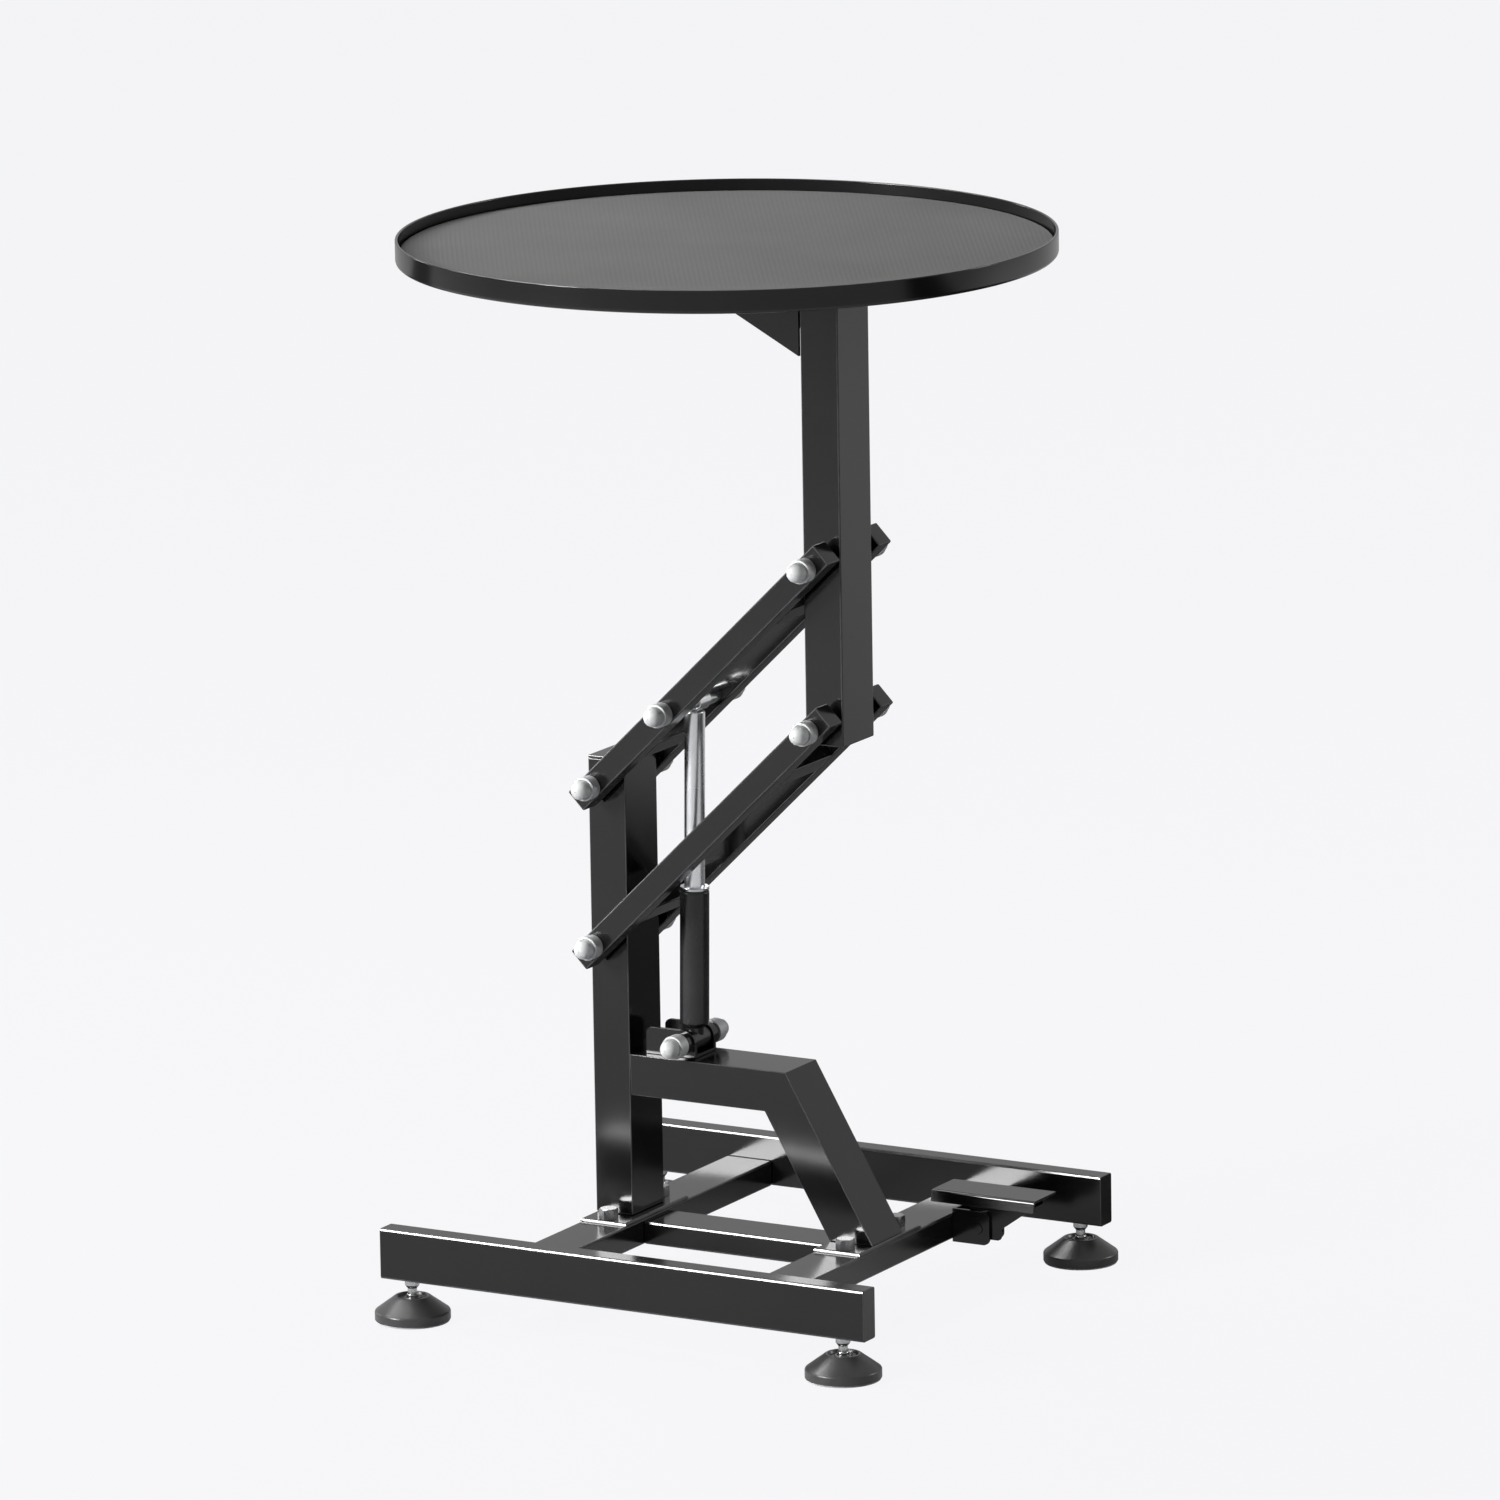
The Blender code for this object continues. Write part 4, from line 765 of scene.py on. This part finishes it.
SPACER_BORE = 0.0053
SPACER_RADIUS = 0.0080
SPACER_START = 0.0155
SPACER_END = 0.0375
for word, side in SIDES:
    spacer = turned([(SPACER_BORE, SPACER_START, 0), (SPACER_RADIUS, SPACER_START, 0.0005),
                     (SPACER_RADIUS, SPACER_END, 0.0005), (SPACER_BORE, SPACER_END, 0)], SMALL_STEPS)
    placed(spacer, GAS_TOP, facing(side))
    make_piece(f"gas_spacer_{word}_sleeve", spacer, [zinc], "upper_arm", [f"gas_spacer_{word}"])


# Tray: a shallow round pan spun from sheet, its lower edge rounded and its rim broken, coated with the frame
# and carried by two triangular gusset plates beside the mast.
tray_low, tray_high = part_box("tray")
TRAY_RADIUS = tray_high.x
TRAY_INNER = TRAY_RADIUS - 0.0028
TRAY_DEPTH = 0.0220
TRAY_FLOOR = 0.0025
WIDE_STEPS = 288
tray = turned([(0, 0, 0), (TRAY_RADIUS, 0, 0.0035), (TRAY_RADIUS, TRAY_DEPTH, 0.0009),
               (TRAY_INNER, TRAY_DEPTH, 0.0009), (TRAY_INNER, TRAY_FLOOR, 0.0010), (0, TRAY_FLOOR, 0)],
              WIDE_STEPS)
make_piece("tray_pan", placed(tray, (0, 0, tray_low.z)), [black_coat], "mast", ["tray"])
for word in ("near", "far"):
    low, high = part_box("gusset_" + word)
    gusset = pressed([(high.x, low.z), (high.x, high.z), (low.x, high.z)], low.y, high.y)
    rounded(gusset, EDGE_BREAK, FLAT_STEPS)
    make_piece(f"gusset_plate_{word}", gusset, [black_coat], "mast", ["gusset_" + word])


# Mat: a loose disc of dark grey rubber in the tray, pressed all over with a fine diamond weave so that an
# animal doesn't slip on it.
WEAVE_TURN = 32
WEAVE_SCALE = 70
RUBBER_GROOVE_SHADE = (0.080, 0.079, 0.078)
RUBBER_DARK = (0.113, 0.112, 0.111)
RUBBER_LIGHT = (0.128, 0.127, 0.126)
mat_rubber, tree, shader, place = node_material("mat_rubber", {"Specular IOR Level": 0.1})
ridges = []
for turn in (WEAVE_TURN, -WEAVE_TURN):
    lay = tree.nodes.new("ShaderNodeMapping")
    lay.inputs["Rotation"].default_value = (0, 0, math.radians(turn))
    tree.links.new(place, lay.inputs["Vector"])
    ridge = tree.nodes.new("ShaderNodeTexWave")
    ridge.wave_profile = "SIN"
    ridge.inputs["Scale"].default_value = WEAVE_SCALE
    ridge.inputs["Distortion"].default_value = 0.2
    tree.links.new(lay.outputs[0], ridge.inputs["Vector"])
    ridges.append(ridge.outputs["Fac"])
weave = arithmetic(tree, "MAXIMUM", *ridges)
wiped = blend_colour(tree, between(tree, add_noise(tree, place, 7, 4), 0, 1), RUBBER_DARK, RUBBER_LIGHT)
# The weave's grooves are painted slightly darker than its ridges: painted shade in the grooves.
woven = blend_colour(tree, between(tree, weave, 0.85, 1.0, 0, 1), RUBBER_GROOVE_SHADE, wiped)
tree.links.new(woven, shader.inputs["Base Color"])
tree.links.new(between(tree, weave, 0.95, 0.85, 0, 1), shader.inputs["Roughness"])
add_bump(tree, shader, weave, 0.35, 0.0003)
mat_low, mat_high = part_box("mat")
mat = turned([(0, mat_low.z, 0), (mat_high.x, mat_low.z, 0), (mat_high.x, mat_high.z, 0.0010),
              (0, mat_high.z, 0)], WIDE_STEPS)
make_piece("mat_sheet", mat, [mat_rubber], "mast", ["mat"])


# Pedal: a pad folded from 2.5 mm sheet with a turned-down front flange, two lever webs under it, a U bracket
# on the front cross member, a pin through both, and a coiled return spring on the pin.
PEDAL_PIN = Vector(joints["pedal_press"]["pos_m"])
SHEET = 0.0025
BEND = 0.0030
FLANGE_DROP = 0.0115
FLANGE_LEAN = 0.0016
EAR_SHEET = 0.003
WEB_GAP = 0.0005
WEB_BACK = PEDAL_PIN.x - 0.010
WEB_FRONT = PEDAL_PIN.x + 0.0580
NEAR_HEEL = 0.0195
FAR_HEEL = 0.0105
HEEL_ROUND = 0.004
pedal_low, pedal_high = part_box("pedal")
bracket_low, bracket_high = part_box("pedal_bracket")
fold = (pedal_low.y + BEND, pedal_high.z - BEND)
under = pedal_high.z - SHEET
flange_end = pedal_high.z - FLANGE_DROP
section = arc(fold, BEND, 180, 90, 8)
section += [(pedal_high.y, pedal_high.z), (pedal_high.y, under)]
section += arc(fold, BEND - SHEET, 90, 180, 4)
section += [(pedal_low.y + SHEET - FLANGE_LEAN, flange_end), (pedal_low.y - FLANGE_LEAN, flange_end)]
pad_top = pressed(section, pedal_low.x, pedal_high.x, "X")
webs = []
for heel, web_start in ((NEAR_HEEL, bracket_low.y + EAR_SHEET + WEB_GAP),
                        (FAR_HEEL, bracket_high.y - EAR_SHEET - WEB_GAP - SHEET)):
    heel_end = PEDAL_PIN.x + heel + HEEL_ROUND
    web = [(WEB_BACK, PEDAL_PIN.z - 0.0105)]
    web += arc((PEDAL_PIN.x + heel, PEDAL_PIN.z - 0.0065), HEEL_ROUND, -90, 0, 6)
    web += [(heel_end, PEDAL_PIN.z + 0.0007), (WEB_FRONT, under - 0.0065), (WEB_FRONT, under),
            (WEB_BACK, under)]
    webs.append(pressed(web, web_start, web_start + SHEET))
break_edges(make_piece("pedal_pad", joined(pad_top, *webs), [black_coat], "pedal", ["pedal"]), 3)

BRACKET_CORNER = 0.0065
BRACKET_MARGIN = 0.01
back_face = bracket_low.x + EAR_SHEET
ears = pressed([(bracket_low.x, bracket_low.y), (bracket_high.x, bracket_low.y),
                (bracket_high.x, bracket_low.y + EAR_SHEET), (back_face, bracket_low.y + EAR_SHEET),
                (back_face, bracket_high.y - EAR_SHEET), (bracket_high.x, bracket_high.y - EAR_SHEET),
                (bracket_high.x, bracket_high.y), (bracket_low.x, bracket_high.y)],
               bracket_low.z, bracket_high.z, "Z")
corner_x = bracket_high.x - BRACKET_CORNER
profile = [(bracket_low.x - BRACKET_MARGIN, bracket_low.z)]
profile += arc((corner_x, bracket_low.z + BRACKET_CORNER), BRACKET_CORNER, -90, 0, 8)
profile += arc((corner_x, bracket_high.z - BRACKET_CORNER), BRACKET_CORNER, 0, 90, 8)
profile.append((bracket_low.x - BRACKET_MARGIN, bracket_high.z))
profile_block = pressed(profile, bracket_low.y - BRACKET_MARGIN, bracket_high.y + BRACKET_MARGIN)
ears = overlap(ears, profile_block)
break_edges(make_piece("pedal_ears", ears, [black_coat], "base", ["pedal_bracket"]), 3)

PIN_RADIUS = 0.0040
PIN_HEAD = 0.0055
PIN_HEAD_DEPTH = 0.0012
pin_low, pin_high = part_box("pedal_pin")
pin_length = pin_high.y - pin_low.y
pin = turned([(0, 0, 0), (0.0050, 0, 0.0004), (PIN_HEAD, PIN_HEAD_DEPTH, 0), (PIN_RADIUS, PIN_HEAD_DEPTH, 0),
              (PIN_RADIUS, pin_length - PIN_HEAD_DEPTH, 0), (PIN_HEAD, pin_length - PIN_HEAD_DEPTH, 0),
              (0.0050, pin_length, 0.0004), (0, pin_length, 0)], SHANK_STEPS)
placed(pin, (PEDAL_PIN.x, pin_low.y, PEDAL_PIN.z), facing(1))
make_piece("pedal_pin_rivet", pin, [black_coat], "base", ["pedal_pin"])

SPRING_RADIUS = 0.0058
SPRING_TAIL = 0.015
WIRE = 0.0009
TURNS = 4
POINTS_A_TURN = 32
spring_low, spring_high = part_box("pedal_spring")
coil = bpy.data.curves.new("pedal_spring_wire", "CURVE")
coil.dimensions = "3D"
coil.bevel_depth = WIRE
coil.bevel_resolution = 4
coil.use_fill_caps = True
line = coil.splines.new("POLY")
count = POINTS_A_TURN * TURNS
start = spring_low.y + WIRE
span = spring_high.y - spring_low.y - 2 * WIRE
line.points.add(count + 1)
line.points[0].co = (PEDAL_PIN.x - SPRING_RADIUS, start, PEDAL_PIN.z + SPRING_TAIL, 1)
for step in range(count + 1):
    angle = math.pi - math.tau * step / POINTS_A_TURN
    line.points[step + 1].co = (PEDAL_PIN.x + SPRING_RADIUS * math.cos(angle), start + span * step / count,
                                PEDAL_PIN.z + SPRING_RADIUS * math.sin(angle), 1)
wire = bpy.data.objects.new("spare", coil)
bpy.context.scene.collection.objects.link(wire)
spring = bmesh.new()
spring.from_mesh(wire.evaluated_get(bpy.context.evaluated_depsgraph_get()).to_mesh())
bpy.data.objects.remove(wire)
make_piece("pedal_spring_coil", spring, [zinc], "pedal", ["pedal_spring"])


bpy.context.view_layer.update()
